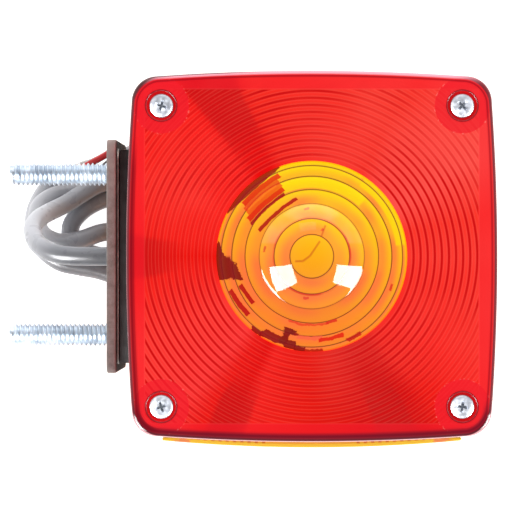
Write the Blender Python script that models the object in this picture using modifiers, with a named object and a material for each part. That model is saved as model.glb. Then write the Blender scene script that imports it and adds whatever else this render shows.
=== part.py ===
"""Square two-faced pedestal lamp for a truck or trailer fender.

The lamp lies on its rear lens. Z runs from the rear lens up to the front lens, the mounting foot and its
studs point along -X, and the side marker lens is on -Y. Lengths are in metres. Every piece is modelled about
the lens centre line and parented to an empty there, so the world origin is under the middle of the lamp.
"""

import math

import bmesh
import bpy

MM = 0.001
GAP = 0.3 * MM

# Lens outline: a square whose sides bulge a little, with round corners
LENS_HALF = 48.9 * MM
LENS_BOW = 1.5 * MM
LENS_RADIUS = 7.0 * MM
LENS_WALL = 2.2 * MM
LENS_SKIRT = 10.0 * MM
SCREW_PATTERN = 40.85 * MM
DOME_RADIUS = 14.25 * MM
DOME_HEIGHT = 5.8 * MM
BULLSEYE_RADIUS = 25.75 * MM

# Depth of the lamp, from the tip of the rear dome at zero
REAR_FACE = DOME_HEIGHT
FRONT_FACE = REAR_FACE + 80.0 * MM
MID_DEPTH = (REAR_FACE + FRONT_FACE) / 2
SEAL_THICKNESS = 1.2 * MM
REAR_LENS_BACK = REAR_FACE + LENS_SKIRT
FRONT_LENS_BACK = FRONT_FACE - LENS_SKIRT
HOUSING_REAR = REAR_LENS_BACK + SEAL_THICKNESS + 2 * GAP
HOUSING_FRONT = FRONT_LENS_BACK - SEAL_THICKNESS - 2 * GAP

# Housing and mounting foot
HOUSING_HALF = 48.7 * MM
HOUSING_RADIUS = 6.0 * MM
HOUSING_WALL = 2.4 * MM
POST_RADIUS = 6.2 * MM
FOOT_FACE = -52.7 * MM
FOOT_HALF_LENGTH = 29.3 * MM
FOOT_HALF_DEPTH = 27.0 * MM
PLATE_THICKNESS = 0.55 * MM
PAD_THICKNESS = 2.55 * MM
PAD_FACE = -56.3 * MM
PAD_LENGTH = 64.2 * MM
PAD_DEPTH = 57.0 * MM

# Quarter-inch studs with 20 threads to the inch
STUD_RADIUS = 3.175 * MM
STUD_TIP = -85.1 * MM
STUD_SPACING = 45.2 * MM
STUD_MIDDLE = 0.5 * MM

# Side marker lens
SIDE_OUTER = -52.6 * MM
SIDE_END = -50.65 * MM
SIDE_SEAL_THICKNESS = 0.6 * MM
SIDE_HALF_LENGTH = 41.2 * MM
SIDE_HALF_DEPTH = 25.5 * MM

# Bulb, socket and cable, all on one line along X through the lens centre
PIN_X = -29.75 * MM
PUSH_TRAVEL = 2.5 * MM
TWIST_ANGLE = math.radians(20)
PIN_RADIUS = 1.0 * MM
BASE_RADIUS = 7.6 * MM
BASE_REAR = PIN_X - 6.2 * MM
BASE_TOP = PIN_X + 9.0 * MM
GLASS_RADIUS = 13.2 * MM
GLASS_TIP = PIN_X + 44.3 * MM
SOCKET_REAR = -46.5 * MM
SOCKET_MOUTH = -25.0 * MM
SOCKET_INNER = 7.9 * MM
SOCKET_OUTER = 8.8 * MM
BRACKET_LOW = -HOUSING_HALF + HOUSING_WALL + GAP
BRACKET_SCREWS = (-12.5 * MM, 12.5 * MM)
CABLE_RADIUS = 2.65 * MM
WIRE_RADIUS = 0.9 * MM
GROMMET_FACE = -55.6 * MM

# The world origin is under the middle of the lamp without its cable
LENS_CENTRE_X = -(STUD_TIP + LENS_HALF + LENS_BOW) / 2
LENS_CENTRE_Y = -(SIDE_OUTER + LENS_HALF + LENS_BOW) / 2

# Route of the cable in millimetres from the lens centre line: over its own pile, down round the left, then
# three flat loops that run under the rim of the rear lens and end in bare wires under the upper stud
CABLE_ROUTE = [
    (-55.9, 0.0, 45.8),
    (-61.9, 0.0, 45.8),
    (-69.8, 0.3, 44.4),
    (-74.8, 1.6, 41.4),
    (-78.2, 3.9, 37.0),
    (-79.8, 8.0, 30.4),
    (-78.6, 10.7, 25.2),
    (-76.1, 12.6, 20.1),
    (-71.5, 15.2, 14.1),
    (-67.2, 18.1, 11.1),
    (-62.3, 21.0, 9.0),
    (-55.4, 22.7, 5.5),
    (-50.4, 24.5, 2.8),
    (-44.6, 26.2, 2.8),
    (-36.7, 25.9, 2.8),
    (-31.2, 23.5, 2.8),
    (-27.0, 19.3, 2.8),
    (-24.1, 11.9, 2.8),
    (-24.3, 5.9, 2.8),
    (-26.7, 0.4, 2.8),
    (-32.4, -5.1, 2.8),
    (-38.1, -6.8, 2.8),
    (-44.0, -5.6, 2.8),
    (-51.1, -2.0, 2.8),
    (-56.4, 0.0, 4.7),
    (-61.9, 0.1, 6.9),
    (-69.2, 3.0, 7.4),
    (-70.5, 8.6, 7.1),
    (-67.1, 13.3, 6.6),
    (-60.3, 16.9, 4.2),
    (-54.6, 17.5, 2.8),
    (-48.7, 18.8, 2.8),
    (-40.9, 20.5, 2.8),
    (-35.3, 18.8, 2.8),
    (-31.1, 14.6, 2.8),
    (-30.3, 6.7, 2.8),
    (-33.5, 1.8, 2.8),
    (-39.0, -0.2, 2.8),
    (-44.8, 1.3, 2.8),
    (-51.7, 5.3, 3.0),
    (-56.7, 7.2, 5.6),
    (-61.3, 6.9, 9.5),
    (-68.1, 4.6, 13.0),
    (-74.0, 4.2, 13.3),
    (-78.9, 7.1, 12.0),
    (-79.7, 14.0, 9.3),
    (-75.4, 17.7, 7.7),
    (-69.9, 18.9, 5.6),
    (-63.3, 21.8, 3.0),
    (-58.9, 25.9, 2.8),
    (-53.7, 29.6, 2.8),
    (-46.1, 32.0, 2.8),
    (-40.1, 32.5, 2.8),
    (-34.2, 31.4, 2.8),
    (-27.0, 27.7, 2.8),
    (-22.7, 23.5, 2.8),
    (-19.7, 18.4, 2.8),
    (-18.0, 10.6, 2.8),
    (-18.5, 4.6, 2.8),
    (-20.6, -1.1, 2.8),
    (-25.5, -7.4, 2.8),
    (-30.4, -10.8, 2.8),
    (-36.2, -12.6, 2.8),
    (-44.1, -11.9, 2.8),
    (-49.7, -9.6, 2.8),
    (-55.0, -6.8, 2.8),
    (-62.5, -4.1, 2.8),
    (-68.4, -3.0, 2.8),
    (-74.3, -1.5, 2.8),
    (-80.2, 3.7, 2.8),
    (-81.7, 9.4, 2.8),
    (-80.5, 15.3, 2.8),
    (-75.9, 21.8, 2.8),
    (-70.4, 24.2, 2.8),
]
# Tails of the three wires beyond the end of the jacket
WIRE_ROUTES = {
    "wire_red": [(-69.8, 24.4, 4.0), (-65.0, 27.2, 4.8), (-60.4, 29.7, 4.8), (-57.2, 31.9, 4.8)],
    "wire_white": [(-70.4, 25.4, 2.2), (-67.6, 27.1, 1.1), (-64.8, 27.9, 1.0), (-60.4, 30.2, 1.0), (-57.2, 32.3, 1.0)],
    "wire_black": [(-69.4, 23.5, 2.2), (-65.0, 27.0, 2.9), (-60.4, 29.7, 2.9), (-57.2, 31.9, 2.9)],
}


def clear_scene():
    for obj in list(bpy.data.objects):
        bpy.data.objects.remove(obj, do_unlink=True)


def new_collection(name):
    collection = bpy.data.collections.new(name)
    bpy.context.scene.collection.children.link(collection)
    return collection


def new_empty(name, location, parent=None):
    empty = bpy.data.objects.new(name, None)
    parts.objects.link(empty)
    empty.location = location
    empty.parent = parent
    return empty


def material(name, color, roughness, metallic=0.0, transmission=0.0):
    found = bpy.data.materials.new(name)
    found.use_nodes = True
    shader = found.node_tree.nodes["Principled BSDF"]
    shader.inputs["Base Color"].default_value = (*color, 1.0)
    shader.inputs["Roughness"].default_value = roughness
    shader.inputs["Metallic"].default_value = metallic
    shader.inputs["Transmission Weight"].default_value = transmission
    return found


def place(obj, color, parent=None):
    """The object as a part, in a material of its own."""
    parts.objects.link(obj)
    obj.parent = parent or lens_centre
    obj.data.materials.append(color)
    return obj


def as_tool(obj):
    """The object as a hidden cutter, or as a shape that is joined to a part."""
    tools.objects.link(obj)
    obj.parent = lens_centre
    obj.hide_render = True
    obj.display_type = "WIRE"
    return obj


def combine(target, tool, operation):
    modifier = target.modifiers.new(tool.name, "BOOLEAN")
    modifier.operation = operation
    modifier.object = tool


def cut(target, *cutters):
    for cutter in cutters:
        combine(target, as_tool(cutter), "DIFFERENCE")


def join(target, *others):
    for other in others:
        combine(target, as_tool(other), "UNION")


def turn_to_x(obj):
    """Lays an object made along Z down along X."""
    obj.rotation_euler = (0, math.pi / 2, 0)
    return obj


def smooth(mesh, angle=35):
    mesh.shade_smooth()
    mesh.set_sharp_from_angle(angle=math.radians(angle))


def cylinder(name, radius, low, high, x=0.0, y=0.0, segments=24):
    """A cylinder along Z from low to high."""
    mesh = bpy.data.meshes.new(name)
    shape = bmesh.new()
    bmesh.ops.create_cone(
        shape, cap_ends=True, segments=segments, radius1=radius, radius2=radius, depth=high - low
    )
    shape.to_mesh(mesh)
    shape.free()
    smooth(mesh)
    obj = bpy.data.objects.new(name, mesh)
    obj.location = (x, y, (low + high) / 2)
    return obj


def rod(name, radius, low, high, y=0.0, z=MID_DEPTH, segments=24):
    """A cylinder along X from low to high."""
    obj = turn_to_x(cylinder(name, radius, low, high, segments=segments))
    obj.location = ((low + high) / 2, y, z)
    return obj


def box(name, low, high):
    mesh = bpy.data.meshes.new(name)
    shape = bmesh.new()
    size = [b - a for a, b in zip(low, high)]
    bmesh.ops.create_cube(shape, size=1.0)
    bmesh.ops.scale(shape, vec=size, verts=shape.verts)
    shape.to_mesh(mesh)
    shape.free()
    obj = bpy.data.objects.new(name, mesh)
    obj.location = [(a + b) / 2 for a, b in zip(low, high)]
    return obj


def as_mesh(curve_object):
    """A mesh object in place of a curve object, with its loose caps welded on."""
    bpy.context.scene.collection.objects.link(curve_object)
    graph = bpy.context.evaluated_depsgraph_get()
    mesh = bpy.data.meshes.new_from_object(curve_object.evaluated_get(graph))
    shape = bmesh.new()
    shape.from_mesh(mesh)
    bmesh.ops.remove_doubles(shape, verts=shape.verts, dist=0.001 * MM)
    bmesh.ops.recalc_face_normals(shape, faces=shape.faces)
    shape.to_mesh(mesh)
    shape.free()
    name = curve_object.name
    bpy.data.objects.remove(curve_object)
    mesh.name = name
    obj = bpy.data.objects.new(name, mesh)
    return obj


def slab(name, outlines, low, high):
    """A flat piece from low to high along Z. The outlines after the first are holes."""
    curve = bpy.data.curves.new(name, "CURVE")
    curve.dimensions = "2D"
    curve.fill_mode = "BOTH"
    curve.extrude = (high - low) / 2
    for outline in outlines:
        spline = curve.splines.new("POLY")
        spline.points.add(len(outline) - 1)
        for point, (x, y) in zip(spline.points, outline):
            point.co = (x, y, 0, 1)
        spline.use_cyclic_u = True
    obj = as_mesh(bpy.data.objects.new(name, curve))
    obj.location.z = (low + high) / 2
    return obj


def upright_slab(name, outlines, low, high):
    """A flat piece from low to high along X. Its outlines hold depth, then Y."""
    obj = turn_to_x(slab(name, outlines, low, high))
    obj.location = ((low + high) / 2, 0, MID_DEPTH)
    return obj


def circle(radius, x=0.0, y=0.0, count=24):
    steps = [2 * math.pi * i / count for i in range(count)]
    return [(x + radius * math.cos(a), y + radius * math.sin(a)) for a in steps]


def rounded_rectangle(half_x, half_y, radius, corner_points=5):
    points = []
    for quarter, (sign_x, sign_y) in enumerate([(1, 1), (-1, 1), (-1, -1), (1, -1)]):
        for i in range(corner_points):
            angle = math.pi / 2 * (quarter + i / (corner_points - 1))
            x = sign_x * (half_x - radius) + radius * math.cos(angle)
            y = sign_y * (half_y - radius) + radius * math.sin(angle)
            points.append((x, y))
    return points


def bowed_square(inset=0.0, side_points=6, corner_points=6):
    """The lens outline, drawn in by inset."""
    half = LENS_HALF - inset
    radius = LENS_RADIUS - inset
    straight = half - radius
    lean = math.atan(2 * LENS_BOW / straight)
    points = []
    for quarter in range(4):
        turned = math.pi / 2 * quarter
        side = []
        for i in range(1, side_points + 1):
            along = 2 * i / (side_points + 1) - 1
            side.append((half + LENS_BOW * (1 - along**2), straight * along))
        for i in range(corner_points):
            angle = lean + (math.pi / 2 - 2 * lean) * i / (corner_points - 1)
            side.append((straight + radius * math.cos(angle), straight + radius * math.sin(angle)))
        for x, y in side:
            cos, sin = math.cos(turned), math.sin(turned)
            points.append((x * cos - y * sin, x * sin + y * cos))
    return points


def turned(name, profile, segments=32, closed=False):
    """A turned shape about Z. The profile holds (radius, height), from the top down its outer side."""
    mesh = bpy.data.meshes.new(name)
    edges = [(i, i + 1) for i in range(len(profile) - 1)]
    if closed:
        edges.append((len(profile) - 1, 0))
    mesh.from_pydata([(r, 0, z) for r, z in profile], edges, [])
    obj = bpy.data.objects.new(name, mesh)
    screw = obj.modifiers.new("turn", "SCREW")
    screw.axis = "Z"
    screw.steps = segments
    screw.render_steps = segments
    screw.use_merge_vertices = True
    screw.merge_threshold = 0.001 * MM
    return obj


def turned_on_x(name, profile, segments=32, closed=False, y=0.0, z=MID_DEPTH):
    """A turned shape about a line along X. The profile holds (radius, x), from +X down its outer side."""
    obj = turn_to_x(turned(name, profile, segments, closed))
    obj.location = (0, y, z)
    return obj


def wire(name, points, radius, resolution=2):
    """A round wire through the points."""
    curve = bpy.data.curves.new(name, "CURVE")
    curve.dimensions = "3D"
    curve.bevel_depth = radius
    curve.bevel_resolution = resolution
    curve.use_fill_caps = True
    spline = curve.splines.new("POLY")
    spline.points.add(len(points) - 1)
    for point, co in zip(spline.points, points):
        point.co = (*co, 1)
    return bpy.data.objects.new(name, curve)


def in_metres(route):
    return [tuple(value * MM for value in point) for point in route]


def smooth_path(points, spacing):
    """Points at about the given spacing on a smooth curve through the points."""
    first = [2 * a - b for a, b in zip(points[0], points[1])]
    last = [2 * a - b for a, b in zip(points[-1], points[-2])]
    line = [first, *points, last]
    fine = []
    for before, start, end, after in zip(line, line[1:], line[2:], line[3:]):
        count = max(1, round(math.dist(start, end) / spacing))
        for i in range(count):
            t = i / count
            fine.append(
                tuple(
                    b + t / 2 * (c - a + t * (2 * a - 5 * b + 4 * c - d + t * (3 * (b - c) + d - a)))
                    for a, b, c, d in zip(before, start, end, after)
                )
            )
    fine.append(tuple(points[-1]))
    return fine


def bevel(obj, width, segments=2, angle=40):
    modifier = obj.modifiers.new("bevel", "BEVEL")
    modifier.width = width
    modifier.segments = segments
    modifier.limit_method = "ANGLE"
    modifier.angle_limit = math.radians(angle)
    modifier.harden_normals = False


def screw_places():
    return [(x, y) for y in (SCREW_PATTERN, -SCREW_PATTERN) for x in (-SCREW_PATTERN, SCREW_PATTERN)]


def stud_places():
    return [STUD_MIDDLE + STUD_SPACING / 2, STUD_MIDDLE - STUD_SPACING / 2]


# Housing and foot


def make_housing():
    inner = rounded_rectangle(
        HOUSING_HALF - HOUSING_WALL, HOUSING_HALF - HOUSING_WALL, HOUSING_RADIUS - HOUSING_WALL
    )
    outer = rounded_rectangle(HOUSING_HALF, HOUSING_HALF, HOUSING_RADIUS)
    housing = slab("housing", [outer, inner], HOUSING_REAR, HOUSING_FRONT)
    for i, (x, y) in enumerate(screw_places()):
        join(housing, cylinder(f"post_{i}", POST_RADIUS, HOUSING_REAR, HOUSING_FRONT, x, y))
        cut(housing, cylinder(f"post_hole_{i}", 2.1 * MM, -0.1, 0.2, x, y, 16))
    foot = box(
        "foot",
        (FOOT_FACE, -FOOT_HALF_LENGTH, MID_DEPTH - FOOT_HALF_DEPTH),
        (-HOUSING_HALF + HOUSING_WALL - 0.05 * MM, FOOT_HALF_LENGTH, MID_DEPTH + FOOT_HALF_DEPTH),
    )
    join(housing, foot)
    cut(housing, rod("socket_bore", 10.0 * MM, -50.3 * MM, -40 * MM, segments=32))
    cut(housing, rod("grommet_bore", 5.0 * MM, -60 * MM, -49 * MM))
    for y in stud_places():
        cut(housing, rod("stud_bore", STUD_RADIUS + GAP, -60 * MM, -40 * MM, y))
    for y in BRACKET_SCREWS:
        cut(housing, rod("bracket_bore", 1.75 * MM, -51 * MM, -40 * MM, y, segments=16))
    window = box(
        "side_window", (-36 * MM, -55 * MM, MID_DEPTH - 18 * MM), (36 * MM, -44 * MM, MID_DEPTH + 18 * MM)
    )
    cut(housing, window)
    place(housing, material("housing", (0.02, 0.018, 0.018), 0.5))


def make_base():
    holes = [circle(5.0 * MM)]
    holes += [circle(STUD_RADIUS + GAP, 0, y) for y in stud_places()]
    outline = rounded_rectangle(FOOT_HALF_DEPTH + 0.3 * MM, FOOT_HALF_LENGTH + 0.3 * MM, 3 * MM)
    high = FOOT_FACE - GAP
    plate = upright_slab("base_plate", [outline, *holes], high - PLATE_THICKNESS, high)
    place(plate, material("base_plate", (0.25, 0.24, 0.23), 0.5, 1.0))
    holes[0] = circle(6.6 * MM)
    outline = rounded_rectangle(PAD_DEPTH / 2, PAD_LENGTH / 2, 3 * MM)
    pad = upright_slab("mounting_pad", [outline, *holes], PAD_FACE, PAD_FACE + PAD_THICKNESS)
    place(pad, material("mounting_pad", (0.27, 0.22, 0.19), 0.9))


def make_studs():
    head_high = -HOUSING_HALF + HOUSING_WALL + 3.0 * MM
    head_low = -HOUSING_HALF + HOUSING_WALL + GAP
    chamfer = 0.8 * MM
    zinc = material("stud", (0.72, 0.76, 0.8), 0.25, 1.0)
    for i, y in enumerate(stud_places(), 1):
        profile = [
            (0, head_high),
            (4.8 * MM, head_high),
            (5.6 * MM, head_high - 0.8 * MM),
            (5.6 * MM, head_low),
            (STUD_RADIUS, head_low),
            (STUD_RADIUS, STUD_TIP + chamfer),
            (STUD_RADIUS - chamfer, STUD_TIP),
            (0, STUD_TIP),
        ]
        place(turned_on_x(f"stud_{i}", profile, 20, y=y), zinc)


# Lenses


def make_lens_tray(name, face, back):
    """A shallow tray with a closed face, and a column at each corner for a screw."""
    inward = 1 if back > face else -1
    floor = face + inward * LENS_WALL
    tray = slab(name, [bowed_square()], min(face, back), max(face, back))
    past = back + inward * MM
    pocket = slab(f"{name}_pocket", [bowed_square(LENS_WALL)], min(floor, past), max(floor, past))
    cut(tray, pocket)
    for i, (x, y) in enumerate(screw_places()):
        inside = face + inward * 1.1 * MM
        column = cylinder(f"{name}_column_{i}", 6.0 * MM, min(inside, back), max(inside, back), x, y)
        join(tray, column)
        seat = face + inward * 3.0 * MM
        outside = face - inward * 2.0 * MM
        cut(tray, cylinder(f"{name}_recess_{i}", 4.05 * MM, min(seat, outside), max(seat, outside), x, y))
        cut(tray, cylinder(f"{name}_hole_{i}", 2.1 * MM, -0.1, 0.2, x, y, 16))
    return tray


def dome_arc(rim_radius, height, count=7):
    """(radius, height over the rim) along a spherical cap, from its rim to its tip."""
    sphere = (rim_radius**2 + height**2) / (2 * height)
    opening = math.asin(rim_radius / sphere)
    steps = [opening * (1 - i / (count - 1)) for i in range(count)]
    return [(sphere * math.sin(a), sphere * math.cos(a) - sphere + height) for a in steps]


def make_front_lens():
    tray = make_lens_tray("red_lens", FRONT_FACE, FRONT_LENS_BACK)
    window = cylinder(
        "bullseye_window", BULLSEYE_RADIUS + GAP, FRONT_FACE - 4 * MM, FRONT_FACE + MM, segments=48
    )
    cut(tray, window)
    place(tray, material("red_lens", (0.85, 0.02, 0.02), 0.08, 0.0, 0.8))
    outer = dome_arc(DOME_RADIUS, DOME_HEIGHT)
    inner = dome_arc(DOME_RADIUS - 1.5 * MM, DOME_HEIGHT - 1.0 * MM)
    floor = FRONT_FACE - LENS_WALL
    flange = floor - GAP
    profile = [(r, FRONT_FACE + h) for r, h in reversed(outer)]
    profile += [
        (BULLSEYE_RADIUS, FRONT_FACE),
        (BULLSEYE_RADIUS, flange),
        (BULLSEYE_RADIUS + 1.6 * MM, flange),
        (BULLSEYE_RADIUS + 1.6 * MM, flange - 1.5 * MM),
        (BULLSEYE_RADIUS - 1.5 * MM, flange - 1.5 * MM),
        (BULLSEYE_RADIUS - 1.5 * MM, floor),
    ]
    profile += [(r, floor + h) for r, h in inner]
    bullseye = turned("amber_bullseye", profile, 48)
    place(bullseye, material("amber_bullseye", (1.0, 0.55, 0.03), 0.08, 0.0, 0.8))


def make_rear_lens():
    tray = make_lens_tray("amber_lens", REAR_FACE, REAR_LENS_BACK)
    opening = cylinder("dome_opening", DOME_RADIUS - 1.0 * MM, REAR_FACE - MM, REAR_FACE + 4 * MM, segments=48)
    cut(tray, opening)
    outer = dome_arc(DOME_RADIUS, DOME_HEIGHT)
    inner = dome_arc(DOME_RADIUS - 2.0 * MM, DOME_HEIGHT - 1.0 * MM)
    rim_low = REAR_FACE + 0.3 * MM
    rim_high = REAR_FACE + 1.6 * MM
    profile = [(r, rim_high - h) for r, h in reversed(inner)]
    profile += [(DOME_RADIUS + MM, rim_high), (DOME_RADIUS + MM, rim_low)]
    profile += [(r, REAR_FACE - h) for r, h in outer]
    join(tray, turned("rear_dome", profile, 48))
    place(tray, material("amber_lens", (1.0, 0.5, 0.03), 0.08, 0.0, 0.8))


def make_seals():
    color = material("seal", (0.03, 0.03, 0.03), 0.9)
    for name, low in (
        ("rear_lens_seal", REAR_LENS_BACK + GAP),
        ("front_lens_seal", HOUSING_FRONT + GAP),
    ):
        outlines = [bowed_square(0.7 * MM), bowed_square(LENS_WALL - 0.2 * MM)]
        place(slab(name, outlines, low, low + SEAL_THICKNESS), color)


def make_lens_screws():
    """Pan-head screws with a cross recess, sunk below the lens faces."""
    steel = material("lens_screw", (0.75, 0.76, 0.78), 0.3, 1.0)
    for side, face, outward in (("front", FRONT_FACE, 1), ("rear", REAR_FACE, -1)):
        for i, (x, y) in enumerate(screw_places(), 1):
            head = 3.25 * MM
            profile = [
                (0, 2.2 * MM),
                (1.6 * MM, 2.1 * MM),
                (2.7 * MM, 1.6 * MM),
                (head, 0.7 * MM),
                (head, 0),
                (1.75 * MM, 0),
                (1.75 * MM, -14.5 * MM),
                (0, -16.5 * MM),
            ]
            name = f"{side}_screw_{i}"
            screw = turned(name, profile, 20)
            seat = face - outward * (3.0 * MM - GAP)
            screw.location = (x, y, seat)
            screw.rotation_euler = (0 if outward > 0 else math.pi, 0, 0)
            for j, (half_x, half_y) in enumerate([(1.9 * MM, 0.4 * MM), (0.4 * MM, 1.9 * MM)]):
                slot = box(
                    f"{name}_slot_{j}",
                    (x - half_x, y - half_y, seat + outward * 2.35 * MM - 1.35 * MM),
                    (x + half_x, y + half_y, seat + outward * 2.35 * MM + 1.35 * MM),
                )
                cut(screw, slot)
            place(screw, steel)


def make_side_lens():
    """A shallow bowed lens over the window in the housing's side."""
    base = -HOUSING_HALF - GAP - SIDE_SEAL_THICKNESS - GAP
    count = 12
    outline = [(SIDE_HALF_LENGTH, base), (-SIDE_HALF_LENGTH, base)]
    for i in range(count + 1):
        along = 2 * i / count - 1
        outline.append((SIDE_HALF_LENGTH * along, SIDE_END + (SIDE_OUTER - SIDE_END) * (1 - along**2)))
    lens = slab("side_lens", [outline], MID_DEPTH - SIDE_HALF_DEPTH, MID_DEPTH + SIDE_HALF_DEPTH)
    bevel(lens, 0.4 * MM, 2)
    hollow = box(
        "side_hollow", (-34 * MM, base - 0.6 * MM, MID_DEPTH - 17 * MM), (34 * MM, base + MM, MID_DEPTH + 17 * MM)
    )
    cut(lens, hollow)
    place(lens, material("side_lens", (1.0, 0.62, 0.05), 0.1, 0.0, 0.7))
    outer = rounded_rectangle(SIDE_HALF_LENGTH - 0.6 * MM, SIDE_HALF_DEPTH - 0.6 * MM, 2 * MM)
    inner = rounded_rectangle(36.5 * MM, 18.5 * MM, 2 * MM)
    seal = slab("side_lens_seal", [outer, inner], -SIDE_SEAL_THICKNESS / 2, SIDE_SEAL_THICKNESS / 2)
    seal.rotation_euler = (math.pi / 2, 0, 0)
    seal.location = (0, -HOUSING_HALF - GAP - SIDE_SEAL_THICKNESS / 2, MID_DEPTH)
    place(seal, material("side_lens_seal", (0.03, 0.03, 0.03), 0.9))


# Socket and bulb


def make_socket():
    profile = [
        (SOCKET_OUTER, SOCKET_MOUTH),
        (SOCKET_OUTER, SOCKET_REAR),
        (4.6 * MM, SOCKET_REAR),
        (4.6 * MM, SOCKET_REAR + 0.9 * MM),
        (SOCKET_INNER, SOCKET_REAR + 0.9 * MM),
        (SOCKET_INNER, SOCKET_MOUTH),
    ]
    socket = turned_on_x("lamp_socket", profile, 32, closed=True)
    slot_half = PIN_RADIUS + 0.35 * MM
    seat_low = PIN_X - PUSH_TRAVEL - slot_half
    for side in (0, 1):
        for step in range(3):
            angle = math.pi * side + TWIST_ANGLE * step / 2
            high = SOCKET_MOUTH + MM if step == 2 else PIN_X + slot_half
            slot = box(
                f"socket_slot_{side}_{step}",
                (-(high - seat_low) / 2, 6 * MM, -slot_half),
                ((high - seat_low) / 2, 11 * MM, slot_half),
            )
            bmesh_offset(slot)
            slot.rotation_euler = (angle, 0, 0)
            slot.location = ((high + seat_low) / 2, 0, MID_DEPTH)
            cut(socket, slot)
    place(socket, material("lamp_socket", (0.6, 0.6, 0.58), 0.35, 1.0))

    outline = rounded_rectangle(12 * MM, 15.8 * MM, 3 * MM)
    holes = [circle(SOCKET_OUTER + GAP, count=32)] + [circle(1.9 * MM, 0, y, 16) for y in BRACKET_SCREWS]
    bracket = upright_slab("socket_bracket", [outline, *holes], BRACKET_LOW, BRACKET_LOW + MM)
    place(bracket, material("socket_bracket", (0.6, 0.6, 0.58), 0.4, 1.0))
    steel = material("bracket_screw", (0.7, 0.7, 0.72), 0.35, 1.0)
    head_low = BRACKET_LOW + MM + GAP
    for i, y in enumerate(BRACKET_SCREWS, 1):
        profile = [
            (0, head_low + 1.8 * MM),
            (2.0 * MM, head_low + 1.5 * MM),
            (2.8 * MM, head_low + 0.5 * MM),
            (2.8 * MM, head_low),
            (1.4 * MM, head_low),
            (1.4 * MM, -50.0 * MM),
            (0, -50.6 * MM),
        ]
        place(turned_on_x(f"bracket_screw_{i}", profile, 16, y=y), steel)


def bmesh_offset(obj):
    """Moves a box's mesh by its own location, so that it can be turned about the origin."""
    for vertex in obj.data.vertices:
        vertex.co += obj.location
    obj.location = (0, 0, 0)


def make_contacts():
    plate_high = BASE_REAR - 2.3 * MM
    plate_low = plate_high - 1.5 * MM
    plate = rod("contact_plate", 7.0 * MM, plate_low, plate_high)
    place(plate, material("contact_plate", (0.25, 0.12, 0.05), 0.7))
    brass = material("contact_button", (0.8, 0.6, 0.25), 0.3, 1.0)
    for i, z in enumerate((3.2 * MM, -3.2 * MM), 1):
        low = plate_high + GAP
        profile = [
            (0, low + 0.9 * MM),
            (1.0 * MM, low + 0.8 * MM),
            (1.6 * MM, low + 0.3 * MM),
            (1.6 * MM, low),
            (0, low),
        ]
        place(turned_on_x(f"contact_button_{i}", profile, 16, z=MID_DEPTH + z), brass)

    low = SOCKET_REAR + 0.9 * MM + GAP + 0.4 * MM
    high = plate_low - GAP - 0.4 * MM
    turns = 3
    count = 16
    helix = []
    for i in range(turns * count + 1):
        angle = 2 * math.pi * i / count
        x = low + (high - low) * i / (turns * count)
        helix.append((x, 6.2 * MM * math.cos(angle), MID_DEPTH + 6.2 * MM * math.sin(angle)))
    spring = wire("contact_spring", helix, 0.35 * MM, 1)
    place(spring, material("contact_spring", (0.6, 0.6, 0.62), 0.3, 1.0))

    jacket_high = -50.6 * MM
    jacket = rod("cable_inner_end", CABLE_RADIUS, GROMMET_FACE, jacket_high, segments=16)
    place(jacket, material("cable_inner_end", (0.4, 0.4, 0.42), 0.5))
    start = jacket_high + GAP
    lead_end = plate_low - GAP
    for name, color, low, high in (
        ("lead_tail", (0.08, 0.08, 0.08), 1.2 * MM, 3.2 * MM),
        ("lead_stop", (0.6, 0.03, 0.03), -1.2 * MM, -3.2 * MM),
    ):
        route = [
            (start, 0, MID_DEPTH + low),
            (start + 1.5 * MM, 0, MID_DEPTH + low),
            ((start + lead_end) / 2, 0, MID_DEPTH + (low + high) / 2),
            (lead_end - 1.5 * MM, 0, MID_DEPTH + high),
            (lead_end, 0, MID_DEPTH + high),
        ]
        place(wire(name, smooth_path(route, 1.5 * MM), 0.8 * MM, 1), material(name, color, 0.5))
    behind_socket = SOCKET_REAR - GAP - 0.6 * MM
    route = [
        (start, 1.3 * MM, MID_DEPTH),
        (start + 1.6 * MM, 1.4 * MM, MID_DEPTH),
        (behind_socket - 0.3 * MM, 3.4 * MM, MID_DEPTH),
        (behind_socket, 5.4 * MM, MID_DEPTH),
        (behind_socket, 8.0 * MM, MID_DEPTH),
    ]
    place(wire("lead_ground", smooth_path(route, MM), 0.6 * MM, 1), material("lead_ground", (0.85, 0.85, 0.85), 0.5))


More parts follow.
